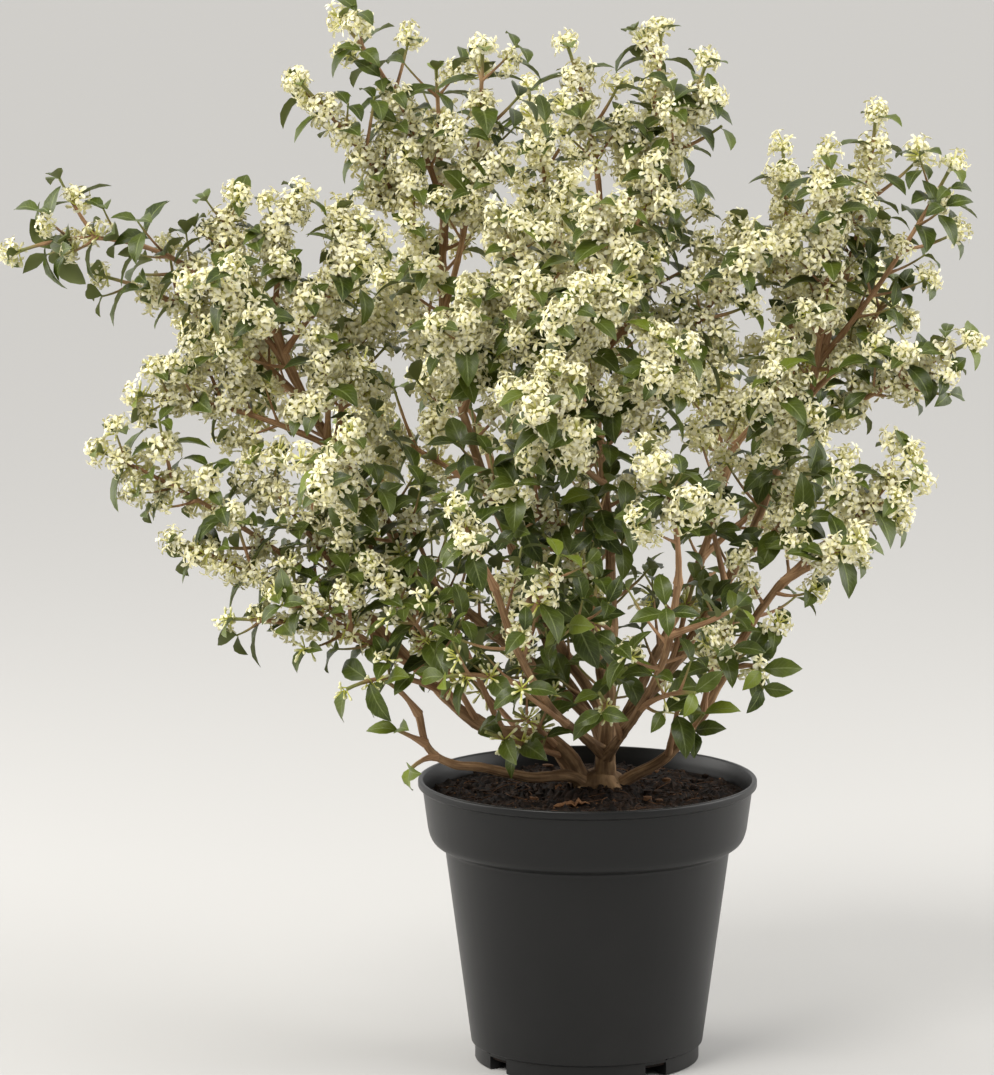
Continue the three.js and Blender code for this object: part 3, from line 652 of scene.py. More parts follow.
LIMBS = tuple(LimbPlan(*row) for row in (
    ("left", (9.5, 3), 1.5, (
        (4, -2, 165), (-4, -4, 182), (-13, -8, 199), (-28, -11, 213), (-57, -18, 219),
        (-80, -22, 232), (-104, -27, 257), (-128, -32, 283))),
    ("rearLeft", (4.4, 2.7), 2, (
        (12, -3, 206), (5, 3, 219), (-9, 12, 233), (-31, 20, 248), (-55, 22, 271), (-85, 18, 297),
        (-113, 10, 320), (-137, 0, 366), (-168, -8, 410), (-190, -12, 452), (-206, -12, 494))),
    ("centre", (10, 2.7), 5, (
        (10, -2, 165), (12, -4, 205), (15, -6, 277), (14, -10, 335), (9, -14, 392), (3, -16, 440),
        (2, -14, 492), (8, -10, 540))),
    ("right", (4.6, 2.5), 2, (
        (14, -3, 172), (26, -5, 185), (50, -8, 200), (71, -12, 225), (84, -12, 248), (99, -14, 278),
        (118, -16, 308), (146, -20, 338))),
    ("lowLeft", (4.2, 2.3), 1.5, (
        (4, -5, 178), (-12, -14, 189), (-38, -28, 191), (-66, -38, 199), (-88, -43, 203),
        (-103, -46, 214), (-109, -46, 236))),
    ("backLeft", (4.4, 2.6), 2, (
        (12, -2, 204), (2, 20, 222), (-22, 55, 256), (-48, 105, 315), (-66, 135, 385))),
    ("backRight", (4.4, 2.6), 2, (
        (13, -2, 206), (26, 18, 224), (46, 60, 256), (76, 105, 310), (98, 130, 382))),
    ("front", (4, 2.3), 2, (
        (12, -5, 200), (19, -24, 214), (33, -56, 242), (48, -92, 284), (55, -112, 332))),
    ("farRight", (4.6, 2.7), 2, (
        (14, -3, 208), (30, 10, 226), (61, 26, 262), (98, 30, 322), (122, 24, 382), (139, 14, 428),
        (152, 8, 468))),
    ("rearCentre", (4.6, 2.6), 2, (
        (12, -2, 212), (6, 12, 232), (-18, 30, 268), (-46, 36, 325), (-70, 34, 385), (-86, 30, 443),
        (-94, 26, 500), (-92, 22, 548))),
    ("back", (4.4, 2.6), 2, (
        (13, -2, 210), (11, 22, 230), (6, 62, 276), (0, 95, 350), (-4, 110, 432))),
    ("frontLeft", (4, 2.3), 2, (
        (11, -5, 202), (-2, -23, 216), (-24, -60, 242), (-46, -95, 286), (-60, -118, 330))),
))

BRANCHES = tuple(BranchPlan(*row) for row in (
    ("left_reach", "rearLeft", 0.9, (-366, 0, 528), (10, 0, 76), 0.7),
    ("left_second", "rearLeft", 0.84, (-312, 20, 510), (6, 0, 26), 0.6),
    ("left_crest", "rearLeft", 1, (-226, -10, 564), (-26, 0, 0), 1),
    ("left_mass", "rearLeft", 0.96, (-238, -62, 516), (0, -16, 10), 1),
    ("left_shoulder", "rearLeft", 0.93, (-146, -24, 548), (6, -10, 0), 1),
    ("left_middle", "rearLeft", 0.78, (-286, -16, 438), (0, 0, 14), 0.8),
    ("left_low_reach", "left", 1, (-312, -20, 402), (0, 0, 20), 0.8),
    ("left_bottom", "left", 0.9, (-228, -48, 298), (0, -6, 16), 0.8),
    ("left_skirt", "left", 0.8, (-154, -78, 258), (0, -8, 18), 0.7),
    ("left_inner", "rearLeft", 0.66, (-164, -100, 404), (0, -14, -10), 0.95),
    ("left_rear", "rearLeft", 0.81, (-262, 92, 470), (0, 12, 20), 0.8),
    ("low_left", "lowLeft", 1, (-130, -72, 262), (0, 0, 6), 0.3),
    ("top_first", "rearCentre", 0.9, (-184, 4, 636), (16, 0, -6), 1),
    ("top_second", "rearCentre", 1, (-158, 22, 674), (16, 0, 6), 0.9),
    ("top_third", "rearCentre", 0.95, (-98, 58, 640), (0, 6, 6), 0.5),
    ("top_fourth", "rearCentre", 0.82, (-68, -8, 658), (12, -8, 0), 0.8),
    ("top_fifth", "centre", 1, (-14, -20, 662), (10, 0, 0), 0.95),
    ("top_sixth", "centre", 0.94, (46, 14, 668), (-8, 0, 0), 0.95),
    ("top_seventh", "centre", 0.88, (74, -14, 650), (8, 0, -12), 0.7),
    ("top_front", "centre", 0.82, (18, -62, 560), (0, -10, -10), 0.9),
    ("top_rear", "back", 1, (-38, 112, 622), (0, 14, 0), 0.9),
    ("right_tuft", "centre", 0.76, (54, 16, 560), (14, 6, -16), 0.3),
    ("right_fan", "centre", 0.66, (102, -22, 540), (10, -6, -20), 0.8),
    ("right_upright", "farRight", 0.78, (126, 44, 590), (0, 8, 0), 0.9),
    ("right_top_first", "farRight", 1, (183, 2, 614), (10, 0, 0), 1),
    ("right_top_second", "farRight", 0.95, (230, -16, 584), (0, 0, -16), 1),
    ("right_top_third", "farRight", 0.9, (150, -36, 594), (10, -8, 0), 1),
    ("right_reach", "farRight", 0.74, (241, -30, 473), (0, -6, 2), 0.9),
    ("right_side_tuft", "farRight", 0.85, (198, 28, 506), (6, 4, -10), 0.5),
    ("right_low_reach", "right", 1, (204, -44, 402), (0, 0, -10), 1),
    ("right_low_front", "right", 0.9, (168, -78, 354), (0, -6, 0), 0.8),
    ("right_bottom", "right", 0.62, (110, -66, 268), (4, -6, 8), 0.4),
    ("right_middle", "farRight", 0.66, (116, -58, 456), (10, -14, -10), 1),
    ("right_rear", "backRight", 1, (196, 112, 480), (0, 10, 10), 0.9),
    ("right_back", "backRight", 0.76, (172, 150, 372), (0, 6, 10), 0.7),
    ("front_first", "rearCentre", 0.7, (-78, -78, 492), (0, -16, -20), 1),
    ("front_second", "centre", 0.71, (-6, -104, 516), (0, -14, -14), 1),
    ("front_third", "centre", 0.54, (-36, -128, 456), (0, -14, -14), 1),
    ("front_fourth", "centre", 0.6, (44, -100, 486), (6, -14, -14), 0.9),
    ("front_fifth", "frontLeft", 1, (-84, -142, 384), (0, -4, 0), 0.6),
    ("front_sixth", "front", 1, (42, -148, 410), (8, -6, 0), 0.6),
    ("front_seventh", "frontLeft", 0.8, (-20, -128, 352), (6, -10, 0), 0.3),
    ("front_eighth", "front", 0.82, (92, -118, 318), (6, -6, 0), 0.3),
    ("low_centre", "centre", 0.3, (-14, -96, 302), (0, -14, 12), 0.2),
    ("low_front", "frontLeft", 0.56, (-92, -112, 272), (0, -6, 14), 0.3),
    ("low_inner", "left", 0.66, (-118, -84, 312), (0, -8, 8), 0.5),
    ("low_right", "right", 0.46, (92, -70, 304), (-6, -14, 8), 0.2),
    ("low_right_front", "front", 0.5, (66, -112, 262), (0, -6, 8), 0.2),
    ("low_rear_left", "rearLeft", 0.42, (-128, 62, 282), (0, 10, 6), 0.3),
    ("low_rear_right", "backRight", 0.5, (112, 96, 272), (6, 0, 8), 0.3),
    ("low_back", "back", 0.44, (-18, 150, 292), (0, 8, 8), 0.3),
    ("middle_right", "farRight", 0.5, (134, -28, 372), (6, -10, 0), 0.5),
    ("back_first", "backLeft", 1, (-134, 166, 500), (0, 10, 10), 0.9),
    ("back_second", "backLeft", 0.86, (-158, 172, 396), (0, 8, 10), 0.8),
    ("back_third", "back", 0.93, (18, 184, 524), (0, 16, 0), 0.9),
    ("back_fourth", "back", 0.78, (-26, 204, 390), (0, 12, 4), 0.7),
    ("back_fifth", "backRight", 0.9, (92, 196, 446), (0, 12, 4), 0.8),
))

# Branches that the solids have no room for, between and under the others
FILLERS = tuple(BranchPlan(*row) for row in (
    ("gap_centre", "rearCentre", 0.66, (-44, -34, 548), (6, -10, 0), 1),
    ("gap_centre_front", "centre", 0.62, (-52, -62, 500), (0, -8, 10), 1),
    ("gap_centre_rear", "back", 0.9, (-44, 62, 540), (0, 6, 0), 0.9),
    ("gap_left_upper", "rearLeft", 0.8, (-172, -44, 478), (6, -12, 0), 0.9),
    ("gap_left_back", "rearLeft", 0.78, (-150, 40, 490), (0, 10, 0), 0.9),
    ("gap_left_crest", "rearLeft", 0.98, (-204, -26, 562), (10, 0, 0), 0.9),
    ("gap_left_middle", "left", 1, (-214, -30, 396), (0, 0, 0), 0.8),
    ("gap_left_lower", "left", 0.96, (-264, -36, 346), (0, -4, 10), 0.8),
    ("gap_left_under", "left", 0.86, (-196, -64, 318), (0, -8, 4), 0.8),
    ("gap_left_inner", "rearLeft", 0.54, (-186, -12, 352), (0, -6, 0), 0.7),
    ("gap_left_heart", "left", 0.74, (-138, -76, 338), (0, -8, 6), 0.7),
    ("gap_left_depth", "rearLeft", 0.46, (-160, 66, 330), (0, 8, 6), 0.6),
    ("skirt_left_inner", "left", 0.5, (-92, 26, 262), (0, 10, 0), 0.2),
    ("skirt_centre", "left", 0.36, (-48, -62, 240), (0, -10, 6), 0.2),
    ("skirt_right", "right", 0.3, (58, -56, 246), (0, -8, 6), 0.2),
    ("skirt_rear", "back", 0.2, (20, 70, 244), (0, 6, 0), 0.2),
    ("skirt_rear_left", "back", 0.14, (-56, 58, 258), (0, 6, 0), 0.2),
    ("skirt_rear_right", "backRight", 0.24, (74, 62, 262), (0, 6, 0), 0.2),
    ("heart_left", "rearLeft", 0.3, (-66, 40, 306), (0, 6, 0), 0.3),
    ("heart_centre", "back", 0.36, (6, 60, 318), (0, 6, 0), 0.3),
    ("heart_right", "farRight", 0.3, (70, 24, 312), (0, 4, 0), 0.3),
    ("heart_front", "centre", 0.24, (24, -58, 268), (0, -6, 0), 0.3),
    ("front_skirt_left", "frontLeft", 0.4, (-46, -92, 262), (0, -6, 0), 0.3),
    ("front_skirt_centre", "front", 0.3, (6, -92, 258), (0, -6, 4), 0.3),
    ("front_skirt_low", "left", 0.3, (-66, -66, 228), (0, -6, 0), 0.3),
    ("front_skirt_outer", "right", 0.34, (74, -44, 236), (0, -4, 0), 0.3),
    ("low_left_tuft", "lowLeft", 0.86, (-122, -60, 228), (0, 0, 0), 0.4),
    ("low_left_bud", "lowLeft", 0.76, (-114, -56, 202), (0, 0, 4), 0.5),
    ("heart_top", "centre", 0.36, (-30, -40, 352), (0, -6, 0), 0.5),
    ("belt_left", "left", 0.56, (-122, -26, 374), (0, -6, 0), 0.3),
    ("belt_centre", "centre", 0.44, (-74, -68, 386), (0, -6, 0), 0.3),
    ("belt_middle", "centre", 0.46, (4, -62, 380), (0, -6, 0), 0.3),
    ("belt_right", "farRight", 0.46, (74, -22, 376), (0, -4, 0), 0.3),
    ("belt_rear", "back", 0.5, (-40, 50, 388), (0, 6, 0), 0.3),
))


def chance(branch: int, axis: int, joint: float, draw: int) -> float:
    """Repeatable chance, the same as in the part's source: the fraction of a steep sine of the keys,
    from 0 to 1."""
    wave = math.sin(branch * 12.9898 + axis * 78.233 + joint * 37.719 + draw * 4.581) * 43758.5453
    return wave - math.floor(wave)


@dataclass
class Axis:
    """A stem's centre line: a quadratic curve on three points, or a smooth curve through more."""

    BALL_STEP: ClassVar[float] = 5.0
    BALL_EXTRA: ClassVar[float] = 0.8

    control: Array
    radii: tuple[float, float]
    number: int = 0
    turn: float = 0.0
    spacing: float = 18.0
    bare: float = 0.2
    taper: float = 1.0
    length: float = field(init=False)

    def __post_init__(self) -> None:
        """Measures the curve along 32 chords."""
        spots = self.points(np.linspace(0, 1, 33))
        self.length = float(np.linalg.norm(np.diff(spots, axis=0), axis=1).sum())

    def points(self, t: Array) -> Array:
        """Places on the curve: either the three points weighted by (1-t)^2, 2t(1-t) and t^2, or the
        cubic through each pair of points whose slopes are half the step between their neighbours.

        Args:
            t: shares of the curve.

        Returns:
            A place for each.
        """
        t = np.asarray(t, float)[:, None]
        if len(self.control) == 3:
            a, b, c = self.control
            return (1 - t) ** 2 * a + 2 * t * (1 - t) * b + t**2 * c
        knots = self.control
        ends = [2 * knots[0] - knots[1], 2 * knots[-1] - knots[-2]]
        padded = np.concatenate([ends[:1], knots, ends[1:]])
        spans = len(knots) - 1
        span = np.minimum((t * spans).astype(int), spans - 1)
        w = t * spans - span
        before, here, there, after = (padded[span[:, 0] + k] for k in range(4))
        slope, next_slope = 0.5 * (there - before), 0.5 * (after - here)
        square = -3 * here + 3 * there - 2 * slope - next_slope
        cube = 2 * here - 2 * there + slope + next_slope
        return here + slope * w + square * w**2 + cube * w**3

    def point(self, t: float) -> Array:
        """One place on the curve."""
        return self.points(np.array([t]))[0]

    def frames(self, t: Array) -> tuple[Array, Array, Array]:
        """The curve's direction and two directions square to it.

        Args:
            t: shares of the curve.

        Returns:
            Along, out and across, each with a row for each share.
        """
        t = np.asarray(t, float)
        along = unit(self.points(np.minimum(1, t + 0.01)) - self.points(np.maximum(0, t - 0.01)))
        chord = unit(self.point(1) - self.point(0))
        reference = np.array([0.0, -1.0, 0.0] if abs(chord[1]) < 0.7 else [1.0, 0.0, 0.0])
        out = unit(reference - along * (along @ reference)[:, None])
        return along, out, np.cross(along, out)

    def frame(self, t: float) -> tuple[Array, Array, Array]:
        """The direction at one place, and two directions square to it."""
        return tuple(found[0] for found in self.frames(np.array([t])))

    def joint_at(self, joint: float) -> float:
        """How far along the stem a joint sits; joint 0 is at the tip."""
        return max(0.02, 1 - (joint * self.spacing + 2) / self.length)

    @property
    def joints(self) -> int:
        """How many joints the stem has."""
        return max(1, math.floor(self.length * (1 - self.bare) / self.spacing))

    def balls(self) -> Balls:
        """The space the stem takes, as balls."""
        count = math.ceil(self.length / self.BALL_STEP)
        share = np.arange(count + 1) / count
        radii = self.radii[0] + (self.radii[1] - self.radii[0]) * share + self.BALL_EXTRA
        return self.points(share), radii

    def tube(self, sides: int, step: float,
             swell: Callable[[Array, Array], Array]) -> tuple[Array, RingStack]:
        """The stem's surface: at each share of the curve a ring square to it. Its radius is the
        end's, plus the difference between the ends times a power of the share that is left, and
        all that times a swelling.

        Args:
            sides: corners in each ring.
            step: the distance between rings.
            swell: gives the factor on the radius from the shares and the places of the corners.

        Returns:
            The corners of one body, and how they are joined.
        """
        count = max(2, round(self.length / step)) + 1
        share = np.linspace(0, 1, count)
        _, out, across = self.frames(share)
        ways = spokes(out, across, ring_angles(sides))
        thinning = (1 - share) ** self.taper
        radius = (self.radii[1] + (self.radii[0] - self.radii[1]) * thinning)[:, None, None]
        middle = self.points(share)
        rings = middle[:, None] + ways * radius
        rings = middle[:, None] + ways * radius * swell(share, rings)[..., None]
        tip = middle[-1] + self.frame(1.0)[0] * 0.4 * self.radii[1]
        corners = np.concatenate([middle[:1], rings.reshape(-1, 3), tip[None]])
        return corners[None], RingStack(count, sides)


def sideways(frame_axes: tuple[Array, Array, Array], angle: float) -> Array:
    """A direction square to the stem, turned by an angle in radians."""
    return frame_axes[1] * math.cos(angle) + frame_axes[2] * math.sin(angle)


@dataclass(frozen=True)
class StemKind:
    """A kind of side stem: its radius at each end, the distance between its joints, the share of it
    that has none, how much of its heading runs along its parent and away from it, and its rise."""

    radii: tuple[float, float]
    spacing: float
    bare: float = 0.35
    along: float = 0.64
    away: float = 0.77
    rise: float = 0.2

    def stem(self, parent: Axis, t: float, angle: float, length: float, number: int, turn: float) -> Axis:
        """A stem of this kind, straight at first and then a little steeper.

        Args:
            parent: the stem that it leaves.
            t: where on it.
            angle: its direction round its parent, in radians.
            length: its length.
            number: its own number.
            turn: where its first leaf looks, in degrees.

        Returns:
            The stem.
        """
        axes, start = parent.frame(t), parent.point(t)
        heading = axes[0] * self.along + sideways(axes, angle) * self.away
        end = start + heading * length + np.array([0, 0, self.rise * length])
        control = np.stack([start, start + 0.5 * length * heading, end])
        return Axis(control, self.radii, number, turn, self.spacing, self.bare)


@dataclass
class Head:
    """A flower head: its foot and middle, the way it faces, a direction square to that, the way
    its stem runs, its size, its turn, its seed, and how far it has opened."""

    BALL_RADIUS: ClassVar[float] = 12.5

    foot: Array
    middle: Array
    way: Array
    square: Array
    stem: Array
    size: float
    spin: float
    seed: int
    ripe: float = 1.0

    def balls(self) -> Balls:
        """The space the head takes."""
        return self.middle[None], np.array([self.BALL_RADIUS * self.size])


@dataclass
class Leaf:
    """A leaf: its foot, the way its rib sets out, the way its upper face looks, its length, how far
    it arches over in radians, and how young it is."""

    foot: Array
    rib: Array
    face: Array
    length: float
    arch: float
    youth: float

    def balls(self) -> Balls:
        """The space the leaf takes: three balls along the arc of its rib."""
        share = np.array([0.35, 0.65, 0.92])
        bend = self.arch * share[:, None]
        reach = self.length / self.arch
        centres = self.foot + self.rib * reach * np.sin(bend) - self.face * reach * (1 - np.cos(bend))
        return centres, np.array([0.265, 0.25, 0.14]) * self.length


@dataclass
class Branch:
    """A branch as it grows."""

    plan: BranchPlan
    number: int
    axes: list[Axis]
    shoots: list[Axis] = field(default_factory=list)
    heads: list[Head] = field(default_factory=list)
    leaves: list[Leaf] = field(default_factory=list)
    is_added: bool = False

    def spots(self, stems: Sequence[Axis]) -> Iterator["Spot"]:
        """Both sides of every joint of some of its stems."""
        for axis in stems:
            for joint in range(axis.joints):
                yield Spot(self, axis, joint, 0)
                yield Spot(self, axis, joint, 1)


@dataclass(frozen=True)
class Spot:
    """Room for a leaf or a flower head: one side, 0 or 1, of a joint of a branch's stem."""

    branch: Branch
    axis: Axis
    joint: int
    side: int

    @property
    def place(self) -> Array:
        """Where the joint is."""
        return self.axis.point(self.axis.joint_at(self.joint))

    def draw(self, key: int) -> float:
        """Repeatable chance for this spot, from 0 to 1."""
        return chance(self.branch.number, self.axis.number, self.joint + 0.5 * self.side, key)

    def turn(self, key: int, nudge: float) -> float:
        """Where what stands there looks, in radians round the stem, with a nudge in degrees."""
        turn = self.axis.turn + 90 * self.joint + 180 * self.side + 30 * (self.draw(key) - 0.5)
        return math.radians(turn + nudge)

    @property
    def has_head(self) -> bool:
        """Whether the solids have a flower head there."""
        bloom, number, joint = self.branch.plan.bloom, self.branch.number, self.joint
        if joint == 0 and self.axis.number == 0:
            return self.side == 0 and bloom > 0.55
        if joint == 0:
            return self.side == 0 and self.draw(11) < 0.62 * bloom
        return (self.axis.number == 0 and joint % 6 == 3 and self.side == (number + joint) % 2
                and chance(number, 0, joint, 11) < 0.5 * bloom)

    @property
    def has_leaf(self) -> bool:
        """Whether the solids have a leaf there."""
        pair_joint = 1 if Spot(self.branch, self.axis, 0, 0).has_head else 0
        if self.joint <= pair_joint:
            return self.joint == pair_joint and (self.side == 0 or self.axis.number == 0)
        return (2 * self.joint + self.side + self.axis.number) % 5 == 0 and not self.has_head


class Space:
    """The space already taken, as balls that each belong to one branch or to the woody frame."""

    ROOM = 60000
    FRAME_OWNER = -1
    CLEARANCE = 0.7

    def __init__(self) -> None:
        """Makes room for the balls."""
        self.centres = np.zeros((self.ROOM, 3))
        self.radii = np.zeros(self.ROOM)
        self.owners = np.zeros(self.ROOM, int)
        self.used = 0

    def is_clear(self, balls: Balls, owner: int, ease: float = 1.0) -> bool:
        """Whether some balls miss all that others own.

        Args:
            balls: their centres and radii.
            owner: whose they are.
            ease: a factor on the distance they have to keep.

        Returns:
            True if they do.
        """
        mask = self.owners[:self.used] != owner
        centres, radii = self.centres[:self.used][mask], self.radii[:self.used][mask]
        for centre, radius in zip(*balls, strict=True):
            gap = np.sqrt(((centres - centre) ** 2).sum(1))
            if (gap <= (radius + radii + self.CLEARANCE) * ease).any():
                return False
        return True

    def take(self, balls: Balls, owner: int) -> None:
        """Adds balls to the space taken."""
        count = len(balls[1])
        spot = slice(self.used, self.used + count)
        self.centres[spot], self.radii[spot], self.owners[spot] = *balls, owner
        self.used += count

    def place_first(self, tries: Sequence[Try], make: Callable[[Try], Thing],
                    balls_of: Callable[[Thing], Balls], owner: int, ease: float = 1.0) -> Thing | None:
        """The first of some tries that clears every other branch.

        Args:
            tries: what is handed to make, one after another.
            make: makes the thing from a try.
            balls_of: gives the space that it takes.
            owner: whose it is.
            ease: a factor on the distance it has to keep.

        Returns:
            The thing, or nothing.
        """
        for nudge in tries:
            made = make(nudge)
            balls = balls_of(made)
            if self.is_clear(balls, owner, ease):
                self.take(balls, owner)
                return made
        return None


class Growth:
    """Grows the shrub: first all that its solids have, in their order, and then the rest."""

    BOW_TRIES = ((0, 0), (0, -14), (14, 0), (-14, 0), (0, 14), (0, -28), (28, 0), (-28, 0), (0, 28))
    TWIG_TRIES = (0, 45, -45, 90, -90, 135)
    HEAD_TRIES = (0, 30, -30, 60, -60, 90)
    LEAF_TRIES = (0, 24, -24, 48, -48, 72)
    TURN_OF_AXIS = 50
    BRANCH_RADII = (2.1, 1.1)
    BRANCH_ROOT_BALLS = 5
    TWIG = StemKind((1.4, 0.9), 15)
    TWIG_FIRST_JOINT = 3
    TWIG_EVERY = 4
    TWIG_SHORTEST = 16
    TWIG_PER_JOINT = 6
    TWIG_LONGEST = 42
    TWIG_LEAF_ROOM = 4
    SHOOT = StemKind((0.9, 0.6), 8.5)
    SHOOT_NUMBER = 100
    SHOOT_EASE = 1.2
    SPUR = StemKind((1.2, 0.7), 11, 0.3, 0.35, 0.93, 0.35)
    SPUR_ROOT_BALLS = 3
    SPUR_BLOOM = 0.8
    SPUR_NUMBER = 200
    SPUR_JOINT = 8
    SPUR_STEP = 12.0
    SPUR_FLOOR = 228.0
    LEAF_LENGTH = 31
    LEAF_EASE = 0.5
    LEAF_SHARE = 0.7
    LEAF_DROOP_DEG = -14.0
    HEAD_REACH = 11.5
    TIP_HEAD_REACH = 2.4
    HEAD_EASE = 0.5
    HEAD_ODDS_AT_END = 1.35
    HEAD_ODDS_PER_JOINT = 0.085
    HEAD_ODDS_LEAST = 0.3
    BUD_HEIGHT = 320.0
    BARE_HEIGHT = 262.0
    CROWN_MIDDLE = (-30, -20, 440)
    HEART_RADIUS = 190
    CROWN_DEPTH = 130
    LEAFY_BELT = (Zone((-20, -20, 366), (170, 130, 58)),)
    LEAFY_ZONES = (
        *LEAFY_BELT,
        Zone((-96, 20, 655), (62, 110, 55)),
        Zone((-330, 0, 545), (80, 90, 60)),
        Zone((215, -10, 513), (60, 90, 50)),
    )
    FLOWERY_ZONES = (Zone((104, -60, 300), (66, 90, 64)),)

    def __init__(self) -> None:
        """Grows the whole shrub."""
        self.space = Space()
        self.limbs = {
            plan.name: Axis(np.array(plan.points, float), plan.radii, taper=plan.taper) for plan in LIMBS}
        for limb in self.limbs.values():
            self.space.take(limb.balls(), Space.FRAME_OWNER)
        self.branches = [self._branch(plan, number) for number, plan in enumerate(BRANCHES)]
        for branch in self.branches:
            self._grow_twigs(branch)
        spots = [spot for branch in self.branches for spot in branch.spots(branch.axes)]
        for spot in spots:
            if spot.has_head:
                self._place_head(spot)
        for spot in spots:
            if spot.has_leaf:
                self._place_leaf(spot)
        self.plain_counts = self.counts(self.branches)
        self.fillers = [self._branch(plan, number, self.LEAF_EASE)
                        for number, plan in enumerate(FILLERS, len(BRANCHES))]
        for branch in self.fillers:
            self._grow_twigs(branch, self.LEAF_EASE)
        for branch in [*self.branches, *self.fillers]:
            self._grow_shoots(branch)
        self.spurs = [self._grow_spurs(number, plan.name) for number, plan in enumerate(LIMBS)]
        for branch in self.all_branches:
            self._fill_heads(branch)
        for branch in self.all_branches:
            self._fill_leaves(branch)

    @property
    def added(self) -> list[Branch]:
        """The branches that the solids leave out."""
        return [*self.fillers, *self.spurs]

    @property
    def all_branches(self) -> list[Branch]:
        """The branches of the solids, and then the added ones."""
        return [*self.branches, *self.added]

    @staticmethod
    def counts(branches: Sequence[Branch]) -> tuple[int, int]:
        """How many flower heads and leaves some branches have."""
        heads = sum(len(branch.heads) for branch in branches)
        return heads, sum(len(branch.leaves) for branch in branches)

    def _branch(self, plan: BranchPlan, number: int, ease: float = 1.0) -> Branch:
        """A branch with its main axis, turned aside where it would meet another.

        Args:
            plan: the branch's plan.
            number: its number.
            ease: a factor on the distance it has to keep.

        Returns:
            The branch.
        """
        start = self.limbs[plan.limb].point(plan.at)
        end = np.array(plan.tip, float)

        def make(nudge: tuple[float, float]) -> Axis:
            """The axis with its middle moved by x and y."""
            middle = 0.5 * (start + end) + plan.bow + np.array([*nudge, 0.0])
            turn = self.TURN_OF_AXIS * chance(number, 0, 0, 4)
            return Axis(np.stack([start, middle, end]), self.BRANCH_RADII, 0, turn)

        def free(axis: Axis) -> Balls:
            """The axis's balls apart from those where it leaves its limb."""
            return self._after_root(axis, self.BRANCH_ROOT_BALLS)

        main = self.space.place_first(self.BOW_TRIES, make, free, number, ease) or make((0, 0))
        return Branch(plan, number, [main], is_added=ease < 1)

    def _grow_twigs(self, branch: Branch, ease: float = 1.0) -> None:
        """Adds a side twig at every fourth joint of the main axis.

        Args:
            branch: the branch.
            ease: a factor on the distance that the twigs have to keep.
        """

        def wide(axis: Axis) -> Balls:
            """The twig's balls with room for its leaves."""
            centres, radii = axis.balls()
            return centres, radii + self.TWIG_LEAF_ROOM

        stem = branch.axes[0]
        for joint in range(self.TWIG_FIRST_JOINT, stem.joints, self.TWIG_EVERY):
            draw = [chance(branch.number, 0, joint, n) for n in range(3)]
            turn = GOLDEN_TURN_DEG * joint + 60 * draw[1]
            length = min(self.TWIG_LONGEST, self.TWIG_SHORTEST + self.TWIG_PER_JOINT * joint)
            length *= 0.8 + 0.4 * draw[2]
            own_turn = self.TURN_OF_AXIS * chance(branch.number, joint, 0, 4)

            def make(nudge: float) -> Axis:
                """The twig turned by some degrees."""
                angle = math.radians(turn + nudge)
                return self.TWIG.stem(stem, stem.joint_at(joint), angle, length, joint, own_turn)

            twig = self.space.place_first(self.TWIG_TRIES, make, wide, branch.number, ease)
            if twig:
                branch.axes.append(twig)

    def _grow_shoots(self, branch: Branch) -> None:
        """Adds short side shoots at the joints that have no twig, fewer of them outwards."""
        stem = branch.axes[0]
        taken = {axis.number for axis in branch.axes[1:]}
        for joint in range(1, stem.joints + 1):
            place = stem.point(stem.joint_at(joint))
            odds = 0.8 - 0.62 * self.outwards(place) + 0.2 * self.within(place, self.LEAFY_ZONES)
            for side in (0, 1):
                draw = [chance(branch.number, 50 + side, joint, n) for n in range(4)]
                if joint in taken and side == 0 or draw[0] > odds:
                    continue
                turn = GOLDEN_TURN_DEG * joint + 180 * side + 80 * draw[1] + 60
                length = 12 + 16 * draw[2] + 1.5 * min(joint, 6)
                number = self.SHOOT_NUMBER + 2 * joint + side
                own_turn = self.TURN_OF_AXIS * chance(branch.number, number, 0, 4)

                def make(nudge: float) -> Axis:
                    """The shoot turned by some degrees."""
                    angle = math.radians(turn + nudge)
                    return self.SHOOT.stem(stem, stem.joint_at(joint), angle, length, number, own_turn)

                shoot = self.space.place_first(
                    self.TWIG_TRIES, make, Axis.balls, branch.number, self.SHOOT_EASE)
                if shoot:
                    branch.shoots.append(shoot)

    def _grow_spurs(self, number: int, limb: str) -> Branch:
        """Adds leafy spurs along a limb, from just over its foot to its end, on turning sides.

        Args:
            number: the limb's number.
            limb: its name.

        Returns:
            A branch that holds only the spurs.
        """
        axis = self.limbs[limb]
        plan = BranchPlan(limb, limb, 0, (0, 0, 0), (0, 0, 0), self.SPUR_BLOOM)
        spurs = Branch(plan, self.SPUR_NUMBER + number, [])
        for step in range(2, int(axis.length / self.SPUR_STEP)):
            draw = [chance(spurs.number, 0, step, n) for n in range(5)]
            t = (step + draw[0] - 0.5) * self.SPUR_STEP / axis.length
            if t > 0.99 or axis.point(t)[2] < self.SPUR_FLOOR + 40 * draw[4]:
                continue

            def make(nudge: float) -> Axis:
                """The spur turned by some degrees."""
                angle = math.radians(GOLDEN_TURN_DEG * step + 50 * draw[2] + nudge)
                return self.SPUR.stem(axis, t, angle, 20 + 26 * draw[1], step, 90 * draw[3])

            def free(spur_axis: Axis) -> Balls:
                """The spur's balls apart from those in its limb."""
                return self._after_root(spur_axis, self.SPUR_ROOT_BALLS)

            spur = self.space.place_first(self.TWIG_TRIES, make, free, spurs.number)
            if spur:
                spurs.shoots.append(spur)
        return spurs

